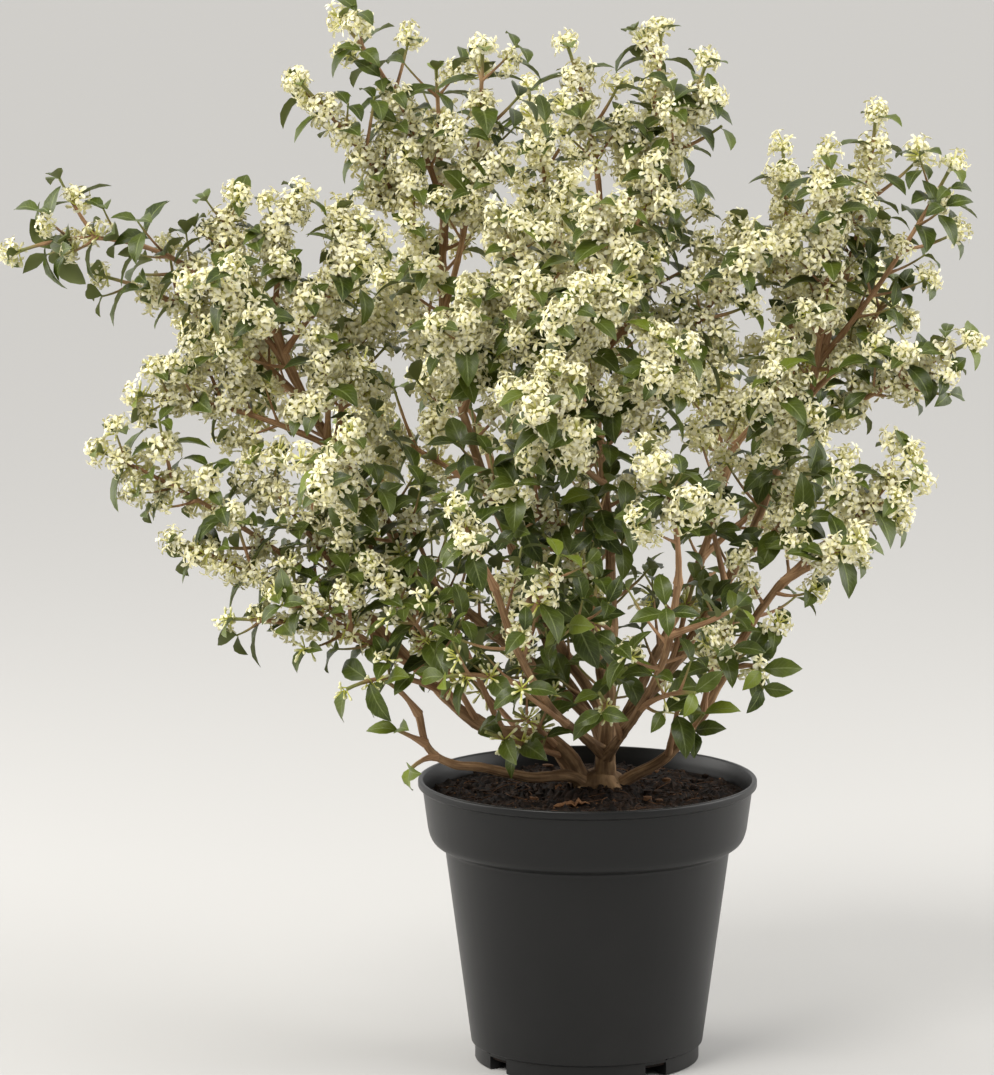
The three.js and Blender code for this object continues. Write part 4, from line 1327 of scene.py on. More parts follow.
    @staticmethod
    def _after_root(axis: Axis, count: int) -> Balls:
        """A stem's balls apart from the first few."""
        centres, radii = axis.balls()
        return centres[count:], radii[count:]

    def _place_head(self, spot: Spot, ease: float = 1.0, scale: float = 1.0) -> None:
        """Adds the head at a spot, turned aside where it would touch another branch.

        Args:
            spot: where it stands.
            ease: a factor on the distance it has to keep.
            scale: a factor on its size.
        """
        branch, axis, joint = spot.branch, spot.axis, spot.joint
        tip = joint == 0
        t = 1.0 if tip else axis.joint_at(joint)
        axes = axis.frame(t)
        size = (0.9 + 0.2 * spot.draw(9)) * scale
        foot = axis.point(t)

        def make(nudge: float) -> Head:
            """The head turned by some degrees."""
            turn = spot.turn(8, nudge)
            way = axes[0] if tip else unit(axes[0] * 0.45 + sideways(axes, turn) * 0.9)
            square = sideways(axes, turn + 0.5 * math.pi)
            middle = foot + way * (self.TIP_HEAD_REACH if tip else self.HEAD_REACH) * size
            seed = branch.number * 1000 + axis.number * 10 + joint * 2 + spot.side
            ripe = (middle[2] - self.BUD_HEIGHT) / 90 + branch.plan.bloom - 0.1 * spot.draw(13)
            ripe = np.clip(max(ripe, 0.9 * self.within(middle, self.FLOWERY_ZONES)), 0, 1)
            spin = 0.5 * math.pi * spot.draw(10)
            return Head(foot, middle, way, square, axes[0], size, spin, seed, float(ripe))

        head = self.space.place_first(self.HEAD_TRIES, make, Head.balls, branch.number, ease)
        if head:
            branch.heads.append(head)

    def _place_leaf(self, spot: Spot, ease: float = 1.0, droop: float = 0.0, scale: float = 1.0) -> None:
        """Adds the leaf at a spot, turned aside where it would touch another branch.

        Args:
            spot: where it stands.
            ease: a factor on the distance it has to keep.
            droop: degrees that it leans out further.
            scale: a factor on its length.
        """
        branch, axis, at_tip = spot.branch, spot.axis, spot.joint == 0
        t = axis.joint_at(spot.joint)
        axes = axis.frame(t)
        lean = 36 + 30 * branch.plan.bloom if at_tip else 62 + 16 * spot.draw(5)
        lean = math.radians(lean + droop)
        length = self.LEAF_LENGTH * (0.8 if at_tip else 1) * (0.82 + 0.36 * spot.draw(7)) * scale
        arch = 0.7 + 0.7 * spot.draw(6) + (0.15 if ease < 1 else 0)
        young = (0.6 if at_tip and axis.number == 0 else 0.12) * (0.2 + 1.2 * spot.draw(12))

        def make(nudge: float) -> Leaf:
            """The leaf turned by some degrees."""
            outward = sideways(axes, spot.turn(3, nudge))
            rib = axes[0] * math.cos(lean) + outward * math.sin(lean)
            face = axes[0] * math.sin(lean) - outward * math.cos(lean) + np.array([0, 0, 0.7])
            face = unit(face - rib * (face @ rib))
            return Leaf(axis.point(t), rib, face, length, arch, young)

        leaf = self.space.place_first(self.LEAF_TRIES, make, Leaf.balls, branch.number, ease)
        if leaf:
            branch.leaves.append(leaf)

    def outwards(self, place: Array) -> float:
        """How far out in the crown a place lies: 0 in its heart, 1 at its outermost twigs."""
        away = (place - np.array(self.CROWN_MIDDLE)) * np.array([1, 1, 1.5])
        return float(np.clip((np.linalg.norm(away) - self.HEART_RADIUS) / self.CROWN_DEPTH, 0, 1))

    @staticmethod
    def within(place: Array, zones: Sequence[Zone]) -> float:
        """How far inside some zones a place lies: 1 near the middle of one, 0 outside all."""
        return max(zone.depth(place) for zone in zones)

    def fade(self, joint: int) -> float:
        """A factor on the odds of a head that falls with the joint's count from the branch's end."""
        return max(self.HEAD_ODDS_LEAST, self.HEAD_ODDS_AT_END - self.HEAD_ODDS_PER_JOINT * joint)

    def _zoned(self, odds: float, place: Array) -> float:
        """The odds of a head, fewer in the leafy zones and at least a half amid the flowery ones."""
        odds *= 1 - 0.75 * self.within(place, self.LEAFY_ZONES)
        return max(odds, 0.5 * self.within(place, self.FLOWERY_ZONES))

    def _fill_heads(self, branch: Branch) -> None:
        """Adds the flower heads that the solids leave out, most of them near the branch's end."""
        bloom = branch.plan.bloom
        for spot in branch.spots(branch.axes):
            if spot.has_head:
                if branch.is_added:
                    self._place_head(spot, self.HEAD_EASE)
            elif spot.joint > 0:
                place = spot.place
                inner = 1 - 0.3 * self.outwards(place)
                odds = self._zoned(max(0.5, bloom) * self.fade(spot.joint) * inner, place)
                if spot.draw(21) < odds:
                    self._place_head(spot, self.HEAD_EASE, 0.84 + 0.36 * inner)
        for spot in branch.spots(branch.shoots):
            end = spot.axis.point(1.0)
            inner = 1 - 0.55 * self.outwards(end)
            is_spur = branch.number >= self.SPUR_NUMBER
            parent = self.SPUR_JOINT if is_spur else (spot.axis.number - self.SHOOT_NUMBER) // 2
            high = 1.0 if end[2] > self.BUD_HEIGHT + 40 else 0.5
            odds = bloom * (1.1 if spot.joint == 0 else 0.8) * high * inner * self.fade(parent)
            odds = self._zoned(odds, end)
            if (spot.joint > 0 or spot.side == 0) and spot.draw(22) < odds:
                self._place_head(spot, self.HEAD_EASE, 0.9 + 0.22 * inner)

    def _fill_leaves(self, branch: Branch) -> None:
        """Adds the leaves that the solids leave out, in pairs at the joints of every stem."""
        for spot in branch.spots(branch.axes):
            place = spot.place
            low = place[2] < self.BUD_HEIGHT or spot.joint > 5
            share = 0.9 if low else self.LEAF_SHARE + 0.2 * self.outwards(place)
            if place[2] < self.BARE_HEIGHT:
                share = 0.5
            share = max(share, self.within(place, self.LEAFY_BELT))
            share *= 1 - 0.4 * self.within(place, self.FLOWERY_ZONES)
            if spot.draw(24) < share and (branch.is_added or not spot.has_leaf):
                self._place_leaf(spot, self.LEAF_EASE, self.LEAF_DROOP_DEG, 0.94)
        for spot in branch.spots(branch.shoots):
            share = 0.5 * self.LEAF_SHARE + 0.6 * self.within(spot.axis.point(1.0), self.LEAFY_BELT)
            if spot.joint == 0 or spot.draw(23) < share:
                self._place_leaf(spot, self.LEAF_EASE, self.LEAF_DROOP_DEG, 0.88)


# The sub-assemblies


@dataclass
class Studio:
    """The camera, the lights and the floor."""

    camera_place: Place = (-0.0587, -4.0, 0.991)
    lit_place: Place = (-0.03, 0, 0.36)
    pitch_deg: float = 9.203
    lens: float = 210.4
    floor_side: float = 60.0
    sky: float = 0.84
    sky_near: float = 0.24
    sky_colour: Colour = (1.0, 0.99, 0.97)
    sun_width_deg: float = 28.0
    panel_size: tuple[float, float] = (1.54, 1.26)
    panels: tuple[tuple[str, Place, float, Colour], ...] = (
        ("left", (-1.6, 0.14, 0.95), 25.5, (1.0, 0.98, 0.94)),
        ("right", (1.55, 0.14, 0.89), 20.5, (1.0, 0.99, 0.97)),
    )
    suns: tuple[tuple[str, Place, float, Colour], ...] = (
        ("key", (-0.5, -0.6, 1.2), 2.3, (1.0, 0.98, 0.94)),
        ("fill", (0.7, -0.42, 1.1), 0.8, (1.0, 0.99, 0.97)),
    )

    def build(self) -> None:
        """Makes the camera, the floor, the sky and the lights."""
        camera = bpy.data.cameras.new("camera")
        camera.lens = self.lens
        camera.sensor_width = 36.0
        camera.clip_end = 200.0
        seen = bpy.data.objects.new("camera", camera)
        seen.location = self.camera_place
        seen.rotation_euler = (math.radians(90 - self.pitch_deg), 0, 0)
        bpy.context.scene.collection.objects.link(seen)
        bpy.context.scene.camera = seen
        self._floor()
        self._sky()
        for name, place, watts, colour in self.panels:
            lamp = self._lamp(name, "AREA", place, watts, colour)
            lamp.data.shape = "RECTANGLE"
            lamp.data.size, lamp.data.size_y = self.panel_size
            lamp.visible_camera = False
        for name, place, strength, colour in self.suns:
            self._lamp(name, "SUN", place, strength, colour).data.angle = math.radians(self.sun_width_deg)

    def _floor(self) -> None:
        """A flat square of pale paper."""
        half = 0.5 * self.floor_side
        corners = [(-half, -half, 0), (half, -half, 0), (half, half, 0), (-half, half, 0)]
        mesh = bpy.data.meshes.new("floor")
        mesh.from_pydata(corners, [], [(0, 1, 2, 3)])
        mesh.materials.append(StudioPaper().material())
        floor = bpy.data.objects.new("floor", mesh)
        floor.location.z = -0.0005
        bpy.context.scene.collection.objects.link(floor)

    def _sky(self) -> None:
        """A plain pale sky behind the shrub, dimmer on the side that the camera stands on."""
        world = bpy.data.worlds.new("studio")
        nodes = Nodes(world)
        way = nodes.node("ShaderNodeTexCoord", {}, {}, "Generated")
        ahead = nodes.node("ShaderNodeSeparateXYZ", {}, {0: way}, "Y").step(-0.7, 0.2)
        strength = self.sky_near + (self.sky - self.sky_near) * ahead
        inputs = {"Color": (*self.sky_colour, 1), "Strength": strength}
        shade = nodes.node("ShaderNodeBackground", {}, inputs)
        nodes.end("ShaderNodeOutputWorld", shade)
        bpy.context.scene.world = world
        bpy.context.scene.view_settings.view_transform = "Standard"

    def _lamp(self, name: str, kind: str, place: Place, power: float, colour: Colour) -> bpy.types.Object:
        """Hangs a light so that it faces the shrub's middle.

        Args:
            name: its name.
            kind: its type: an area light for a panel, or a sun, which is even over the whole floor.
            place: where it hangs, in metres, or which way a sun comes from.
            power: its power in watts, or a sun's strength.
            colour: its colour.

        Returns:
            The light's object.
        """
        light = bpy.data.lights.new(name, kind)
        light.energy = power
        light.color = colour
        lamp = bpy.data.objects.new(name, light)
        lamp.location = place
        way = Vector(self.lit_place) - Vector(place)
        lamp.rotation_euler = way.to_track_quat("-Z", "Y").to_euler()
        bpy.context.scene.collection.objects.link(lamp)
        return lamp


@dataclass
class Pot:
    """The nursery pot: a turned shell with four drain notches through its foot ring."""

    sides: int = 160
    height: float = 185.0
    rim: float = 110.0
    lip: float = 4.5
    wall: float = 1.8
    floor_top: float = 6.0
    crease: float = 11.5
    body_top: float = 140.0
    body_top_radius: float = 92.6
    crease_radius: float = 75.4
    shoulder_radius: float = 100.0
    shoulder_rise: float = 3.5
    collar_foot: float = 150.0
    collar_foot_radius: float = 103.2
    collar_top_radius: float = 107.0
    foot: float = 73.0
    ring: float = 6.0
    hub: float = 40.0
    hub_height: float = 2.0
    first_notch_deg: float = 37.0
    notches: int = 4
    notch_width: float = 17.0
    notch_height: float = 8.5
    edge_gap_deg: float = 0.12

    @property
    def lip_foot(self) -> float:
        """The height of the lip's underside."""
        return self.height - self.lip

    def outside(self) -> list[Corner]:
        """The outer wall's corners, from the foot up: radius, height and rounding."""
        return [
            (self.foot, 0, 0.8),
            (self.foot, self.crease - 1.5, 0.5),
            (self.crease_radius, self.crease, 0.7),
            (self.body_top_radius, self.body_top, 2.2),
            (self.shoulder_radius, self.body_top + self.shoulder_rise, 3.5),
            (self.collar_foot_radius, self.collar_foot, 5),
            (self.collar_top_radius, self.lip_foot - 2, 0.5),
            (self.rim, self.lip_foot, 0.7),
            (self.rim, self.height, 1.4),
        ]

    def inside(self) -> list[Corner]:
        """The inner wall's corners, from the floor up: radius, height and rounding."""
        wall = self.wall
        return [
            (self.foot - wall, self.floor_top, 1),
            (self.body_top_radius - wall, self.body_top + wall, 2),
            (self.shoulder_radius - wall, self.body_top + self.shoulder_rise + wall, 3),
            (self.collar_foot_radius - wall, self.collar_foot + wall, 4),
            (self.collar_top_radius - wall, self.lip_foot - 2, 2),
            (self.collar_top_radius, self.height, 1.2),
        ]

    def profile(self) -> Array:
        """The whole profile, from the middle of the underside round to the middle of the floor."""
        ring, hub, step = self.foot - self.ring, self.hub, self.hub_height
        underside = [
            (0, 0, 0), (hub, 0, 0.6), (hub + step, step, 0.6), (ring - step, step, 0.6), (ring, 0, 0.6)]
        corners = [*underside, *self.outside(), *reversed(self.inside()), (0, self.floor_top, 0)]
        return rounded(corners)

    def angles(self) -> Array:
        """Even angles round the pot, with a close pair at each side of each notch."""
        half = math.degrees(0.5 * self.notch_width / self.foot)
        middles = self.first_notch_deg - 90 + np.arange(self.notches) * (360 / self.notches)
        pair = np.array([half, half + self.edge_gap_deg])
        edges = (middles[:, None] + np.array([*-pair[::-1], *pair])).ravel() % 360
        even = np.arange(self.sides) * (360 / self.sides)
        gap = np.abs((even[:, None] - edges + 180) % 360 - 180).min(1)
        return np.radians(np.sort(np.concatenate([even[gap > 0.5], edges])))

    def _cut_notches(self, points: Array, angles: Array) -> Array:
        """Lifts the foot ring within each notch: heights from the ground to the crease are
        squeezed into what lies above the notch."""
        half = math.degrees(0.5 * self.notch_width / self.foot) + 0.01
        degrees = np.degrees(np.arctan2(points[..., 1], points[..., 0])) + 90
        turn = 360 / self.notches
        away = np.abs((degrees - self.first_notch_deg + 0.5 * turn) % turn - 0.5 * turn)
        radius = np.hypot(points[..., 0], points[..., 1])
        within = (away <= half) & (radius > self.foot - self.ring - 3)
        height = points[..., 2]
        outer = within & (radius > self.foot - 1.5) | within & (height < self.floor_top - 1)
        inner = within & ~outer
        squeezed = self.notch_height + height * (self.crease - self.notch_height) / self.crease
        lifted = np.where(outer & (height < self.crease), squeezed, height)
        lifted = np.where(inner & (height < self.crease), np.maximum(height, self.crease + 0.5), lifted)
        return np.concatenate([points[..., :2], lifted[..., None]], -1)

    def build(self) -> None:
        """Makes the pot."""
        angles = self.angles()
        profile = self.profile()
        points, stack = turned_body(profile, angles)
        points = self._cut_notches(points, angles)
        skin = Skin("pot_shell", Slot.POT, ("pot",))
        around = np.append(angles, angles[0] + 2 * np.pi) / (2 * np.pi)
        skin.add(points, stack, 0.0, arc_lengths(profile), around)
        skin.piece(MouldedPlastic().material(), 35.0)


@dataclass
class Soil:
    """The peat in the pot: a rough bed, loose crumbs, fibres and one chip of bark."""

    edge_height: float = 173.0
    rise: float = 4.0
    sides: int = 220
    rings: int = 70
    crumbs: int = 1500
    fibres: int = 150
    seat_gap: float = 0.3
    edge_fade: float = 6.0
    trunk_x: float = 8.0
    trunk_rise: float = 5.5
    trunk_reach: float = 26.0
    seed: int = 7

    def __post_init__(self) -> None:
        """Makes the finish once for all its pieces."""
        self.material = Peat().material()
        self.edge = 103.0

    def surface(self, x: Array, y: Array) -> Array:
        """The bed's height: a low mound with a rise round the trunk, slow swells, and sharper clods
        that fade at the wall.

        Args:
            x, y: the places, in millimetres.

        Returns:
            The height at each.
        """
        radius = np.hypot(x, y)
        flat = np.stack([x, y, np.zeros_like(x)], -1)
        clods = np.abs(ripple(flat, 9, 3)) + 0.6 * np.abs(ripple(flat, 4.2, 4))
        rough = 1.7 * (clods + 0.9 * ripple(flat, 34, 5)) - 1.2
        fade = np.clip((self.edge - radius) / self.edge_fade, 0, 1)
        trunk = self.trunk_rise * hump((x - self.trunk_x) ** 2 + y**2, self.trunk_reach**2)
        return self.edge_height + self.rise * (1 - radius / self.edge) + fade * (rough + trunk)

    def _bed(self, pot: Pot) -> None:
        """The bed fills the pot's inside, a little clear of its wall."""
        inner = pot.inside()
        wall = [(r - self.seat_gap, z + self.seat_gap, 1) for r, z, _ in inner[:4]]
        slope = (inner[4][0] - inner[3][0]) / (inner[4][1] - inner[3][1])
        self.edge = inner[3][0] + slope * (self.edge_height - inner[3][1]) - self.seat_gap
        walls = rounded([(0, wall[0][1], 0), *wall, (self.edge, self.edge_height, 0)], 4)
        top = np.linspace(self.edge, 0, self.rings + 1)[1:]
        profile = np.concatenate([walls, np.stack([top, np.full_like(top, self.edge_height)], -1)])
        points, stack = turned_body(profile, ring_angles(self.sides))
        x, y, z = np.moveaxis(points, -1, 0)
        is_top = (z >= self.edge_height - 0.01) & (np.hypot(x, y) < self.edge - 0.5)
        points[..., 2] = np.where(is_top, self.surface(x, y), z)
        skin = Skin("soil_bed", Slot.SOIL, ("soil",))
        specks = np.clip(ripple(points, 3.1, 8) - 1.5, 0, 1) * 0.35
        skin.add(points, stack, specks)
        skin.piece(self.material)

    def _scatter(self, rng: np.random.Generator, count: int, reach: float) -> Array:
        """Places on the bed, spread evenly over a disc.

        Args:
            rng: the source of chance.
            count: how many.
            reach: the disc's radius.

        Returns:
            The places.
        """
        radius = reach * np.sqrt(rng.uniform(0, 1, count))
        angle = rng.uniform(0, 2 * np.pi, count)
        x, y = radius * np.cos(angle), radius * np.sin(angle)
        return np.stack([x, y, self.surface(x, y)], -1)

    def _crumbs(self) -> None:
        """Loose crumbs: each is a ball of two rings, stretched and dented at random."""
        rng = np.random.default_rng(self.seed)
        sides, count = 6, self.crumbs
        angles = ring_angles(sides)
        rows = [np.stack([0.85 * np.cos(angles + shift), 0.85 * np.sin(angles + shift),
                          np.full(sides, height)], -1) for shift, height in ((0, -0.5), (0.5, 0.5))]
        ball = np.concatenate([[[0, 0, -1]], *rows, [[0, 0, 1]]])
        dents = rng.uniform(0.7, 1.3, (count, len(ball), 1))
        size = (0.7 + 2.1 * rng.uniform(0, 1, count) ** 3)[:, None, None]
        stretch = rng.uniform(0.6, 1.5, (count, 1, 3)) * np.array([1, 1, 0.6])
        spin = unit(rng.normal(size=(count, 3)))
        other = unit(np.cross(spin, rng.normal(size=(count, 3))))
        turn = np.stack([spin, other, np.cross(spin, other)], 1)
        turn[rng.uniform(size=count) < 0.75] = np.eye(3)
        points = np.einsum("nvi,nij->nvj", ball * dents * stretch * size, turn)
        points += (self._scatter(rng, count, self.edge - 4) + np.array([0, 0, 0.3]))[:, None]
        is_pale, pale = rng.uniform(size=count) < 0.07, rng.uniform(0.3, 0.9, count)
        tone = np.where(is_pale, pale, rng.uniform(0, 0.07, count))
        skin = Skin("soil_crumbs", Slot.SOIL, ("soil",))
        skin.add(points, RingStack(2, sides), tone)
        skin.piece(self.material, 40.0)

    def _fibres(self) -> None:
        """Loose fibres: thin tubes that arch a little over the bed."""
        rng = np.random.default_rng(self.seed + 1)
        skin = Skin("soil_fibres", Slot.SOIL, ("soil",))
        middles = self._scatter(rng, self.fibres, self.edge - 12)
        for middle in middles:
            way = rng.uniform(0, 2 * np.pi)
            half = rng.uniform(3.5, 10)
            step = half * np.array([math.cos(way), math.sin(way), 0])
            ends = [middle - step, middle + step]
            for end in ends:
                end[2] = float(self.surface(end[:1], end[1:2])[0]) + 0.2
            bow = middle + np.array([*rng.normal(0, 2.2, 2), rng.uniform(0.4, 2.6)])
            axis = Axis(np.stack([ends[0], bow, ends[1]]), (0.3, 0.2))
            points, stack = axis.tube(4, 3.0, lambda share, _: np.ones((len(share), 4)))
            skin.add(points, stack, rng.uniform(0.1, 0.5))
        skin.piece(self.material)

    def _chip(self) -> None:
        """The pale chip in front of the trunk: a flat sliver whose width swells and narrows."""
        share = np.linspace(0.03, 0.97, 12)
        angles = ring_angles(8)
        half = 3.4 * np.sin(np.pi * share) ** 0.6
        x = -12 + 26 * (share - 0.5)
        y = -46 + 4 * np.sin(2.5 * share)
        z = self.surface(x, y) + 1.6
        rings = np.stack([
            np.broadcast_to(x[:, None], (len(share), len(angles))),
            y[:, None] + half[:, None] * np.cos(angles),
            z[:, None] + 0.45 * half[:, None] * np.sin(angles),
        ], -1)
        rings = rings + 0.5 * ripple(rings, 6, 21)[..., None] * np.array([0, 1, 0.6])
        first, last = rings[0].mean(0) - [1, 0, 0], rings[-1].mean(0) + [1, 0, 0]
        points = np.concatenate([first[None], rings.reshape(-1, 3), last[None]])[None]
        skin = Skin("bark_chip", Slot.SOIL, ("soil",))
        skin.add(points, RingStack(len(rings), len(angles)), 0.85)
        skin.piece(self.material)

    def build(self, pot: Pot) -> None:
        """Makes the bed in its pot, and what lies on it."""
        self._bed(pot)
        self._crumbs()
        self._fibres()
        self._chip()


@dataclass
class WoodyFrame:
    """The root crown and the limbs."""

    crown: tuple[Corner, ...] = (
        (0, 130, 0), (17, 130, 3), (21.5, 162, 10), (20.5, 178, 8), (13.5, 188, 5), (0, 193, 0))
    crown_centre: tuple[float, float] = (8.0, 0.0)
    crown_sides: int = 48
    limb_sides: int = 14
    limb_step: float = 3.0
    knot: float = 0.22
    knot_reach: float = 5.0
    flare: float = 0.35
    flare_reach: float = 22.0

    def _crown(self, skin: Skin) -> None:
        """The crown: the solid's profile with lobes that run up to the limbs and uneven bark."""
        profile = rounded(self.crown, 7)
        points, stack = turned_body(profile, ring_angles(self.crown_sides))
        angle = np.arctan2(points[..., 1], points[..., 0])
        rise = np.clip((points[..., 2] - 160) / 30, 0, 1)
        factor = 1 + rise * 0.1 * np.sin(5 * angle + 0.8) + 0.05 * ripple(points, 14, 31)
        points[..., :2] *= factor[..., None]
        points[..., :2] += self.crown_centre
        skin.add(points, stack, 0.0, arc_lengths(profile))

    def _limb(self, skin: Skin, number: int, limb: Axis, joints: list[float]) -> None:
        """One limb: a tapering tube with a flared foot, a knot where each branch leaves it, and
        uneven bark.

        Args:
            skin: the piece that it goes to.
            number: the limb's number.
            limb: its axis.
            joints: where its branches leave it.
        """

        def swell(share: Array, corners: Array) -> Array:
            """The factor on the radius."""
            place = share * limb.length
            knots = sum(self.knot * hump(place - t * limb.length, self.knot_reach) for t in joints)
            flare = self.flare * hump(place, self.flare_reach)
            return 1 + (knots + flare)[:, None] + 0.07 * ripple(corners, 13, 40 + number)

        points, stack = limb.tube(self.limb_sides, self.limb_step, swell)
        along = np.linspace(0, limb.length, stack.rings + 2)
        share = np.clip(along / limb.length, 0, 1)
        rings = np.repeat(share[1:-1], self.limb_sides)
        tone = 0.35 * np.concatenate([[0], rings, [1]])[None]
        skin.add(points, stack, tone, along)

    def build(self, growth: Growth, bark: bpy.types.Material) -> None:
        """Makes the frame as one piece.

        Args:
            growth: the grown shrub.
            bark: its finish.
        """
        skin = Skin("woody_frame_bark", Slot.BARK, ("woody_frame",))
        self._crown(skin)
        for number, (name, limb) in enumerate(growth.limbs.items()):
            joints = [branch.plan.at for branch in growth.branches if branch.plan.limb == name]
            self._limb(skin, number, limb, joints)
        skin.piece(bark)


@dataclass(frozen=True)
class BladeForm:
    """The form of a leaf or a petal. Its section is a loop of points across the blade, as shares
    of the half width, from the left edge over the top to the right edge and back underneath. Its
    stations are shares of the length, each with its share of the half width."""

    section: tuple[tuple[float, float], ...]
    across: tuple[float, ...]
    stations: tuple[tuple[float, float], ...]
    half_width: float

    def build(self, foot: Array, rib: Array, face: Array, length: Array, arch: Array,
              wave: Array) -> Array:
        """The corners of many blades at once. The rib is an arc that sets out along rib and bends
        away from face; at each station the section is laid square to the arc, and its edges are
        lifted by a wave that differs from leaf to leaf.

        Args:
            foot, rib, face: where each blade starts, the way it sets out and its upper face.
            length, arch: each blade's length, and how far it bends in radians.
            wave: each blade's phase of its wavy edge.

        Returns:
            The corners: blades, corners, xyz.
        """
        share, width = np.array(self.stations).T
        side, height = np.array(self.section).T
        bend = arch[:, None] * np.append(share, 1.0)
        reach = (length / arch)[:, None, None]
        line = foot[:, None] + reach * (rib[:, None] * np.sin(bend)[..., None]
                                        - face[:, None] * (1 - np.cos(bend))[..., None])
        up = face[:, None] * np.cos(bend)[..., None] + rib[:, None] * np.sin(bend)[..., None]
        right = np.cross(rib, face)[:, None, None]
        half = (self.half_width * length)[:, None, None] * width[None, :, None]
        phase = 9 * share[None, :, None] + wave[:, None, None] + 1.7 * side
        ripple_up = 0.1 * np.sin(phase) * np.abs(side)
        rings = (line[:, :-1, None] + right * (half * side)[..., None]
                 + up[:, :-1, None] * (half * (height + ripple_up))[..., None])
        return np.concatenate([foot[:, None], rings.reshape(len(foot), -1, 3), line[:, -1:]], 1)

    def add(self, skin: Skin, points: Array, tone: Array | float) -> None:
        """Adds built blades to a piece, with the share of the length as the second parameter."""
        stack = RingStack(len(self.stations), len(self.section))
        along = np.array([0.0, *(share for share, _ in self.stations), 1.0])
        skin.add(points, stack, tone, along, np.array(self.across))


LEAF_FORM = BladeForm(
    section=((-1, 0.26), (-0.5, 0.19), (0, 0), (0.5, 0.19), (1, 0.26), (0, -0.07)),
    across=(0.0, 0.25, 0.5, 0.75, 1.0, 1.5, 2.0),
    stations=((0.07, 0.09), (0.16, 0.42), (0.33, 0.88), (0.5, 1.0), (0.7, 0.76), (0.88, 0.33)),
    half_width=0.235,
)
PETAL_FORM = BladeForm(
    section=((-1, 0.1), (1, 0.1), (0, -0.32)),
    across=(0.0, 1.0, 1.5, 2.0),
    stations=((0.26, 0.7), (0.74, 1.0)),
    half_width=0.245,
)


@dataclass(frozen=True)
class TubeForm:
    """The form of a flower's tube or of a bud: its rings, each a share of the length and a radius,
    how deep its mouth is, and the tone and the second parameter of each row."""

    sides: int
    rings: tuple[tuple[float, float], ...]
    pit: float
    tones: tuple[float, ...]
    along: tuple[float, ...]

    def add(self, skin: Skin, foot: Array, mouth: Array, side: Array, size: Array) -> None:
        """Adds many tubes to a piece: rings square to the way from the foot to the mouth.

        Args:
            skin: the piece.
            foot, mouth: each tube's two ends.
            side: a direction square to it.
            size: its factor.
        """
        way = mouth - foot
        axis = unit(way)
        ways = spokes(side, np.cross(axis, side), ring_angles(self.sides))
        rings = [(foot + way * share)[:, None] + ways * (radius * size)[:, None, None]
                 for share, radius in self.rings]
        end = mouth - axis * self.pit * size[:, None]
        points = np.concatenate([foot[:, None], *rings, end[:, None]], 1)
        first, *inner, last = self.tones
        tone = np.array([[first, *np.repeat(inner, self.sides), last]])
        skin.add(points, RingStack(len(rings), self.sides), tone, np.array(self.along))


FLOWER_TUBE = TubeForm(3, ((0.04, 0.5), (1.0, 1.0)), 0.9, (0.9, 0.75, 0.0, 0.35), (0, 0.1, 0.6, 0.2))
BUD = TubeForm(6, ((0.05, 0.4), (0.5, 0.55), (0.76, 1.0), (0.94, 0.8)), 0.0,
               (1.0, 1.0, 0.85, 0.45, 0.25, 0.2), (0, 0.2, 0.4, 0.6, 0.8, 1))


@dataclass(frozen=True)
class Corolla:
    """The four petals of one flower, which open from the mouth of its tube."""

    petal: float = 4.9
    petals: int = 4
    mouth_radius: float = 0.55
    sink: float = 0.5
    spread_deg: float = 66.0
    spread_deviation_deg: float = 17.0
    bends: tuple[float, float] = (0.4, 1.9)

    def petals_at(self, mouth: Array, axis: Array, side: Array, size: Array,
                  rng: np.random.Generator) -> Array:
        """The petals of many flowers: each leaves the mouth's rim and bends outwards.

        Args:
            mouth, axis, side: each flower's mouth, its way, and a direction square to that.
            size: each flower's factor.
            rng: the source of chance.

        Returns:
            The corners of every petal.
        """
        count = len(mouth)
        roll = rng.uniform(0, 2 * np.pi, count)[:, None] + ring_angles(self.petals)
        roll = roll + rng.normal(0, 0.09, roll.shape)
        out = spokes(side, np.cross(axis, side), roll).reshape(-1, 3)
        way = np.repeat(axis, self.petals, 0)
        spread = np.radians(self.spread_deg + rng.normal(0, self.spread_deviation_deg, len(out)))[:, None]
        rib = way * np.cos(spread) + out * np.sin(spread)
        face = way * np.sin(spread) - out * np.cos(spread)
        scale = np.repeat(size, self.petals)
        rim = (out * self.mouth_radius - way * self.sink) * scale[:, None]
        length = self.petal * scale * rng.uniform(0.9, 1.1, len(out))
        bend = rng.uniform(*self.bends, len(out))
        wave = rng.uniform(0, 6.3, len(out))
        return PETAL_FORM.build(np.repeat(mouth, self.petals, 0) + rim, rib, face, length, bend, wave)


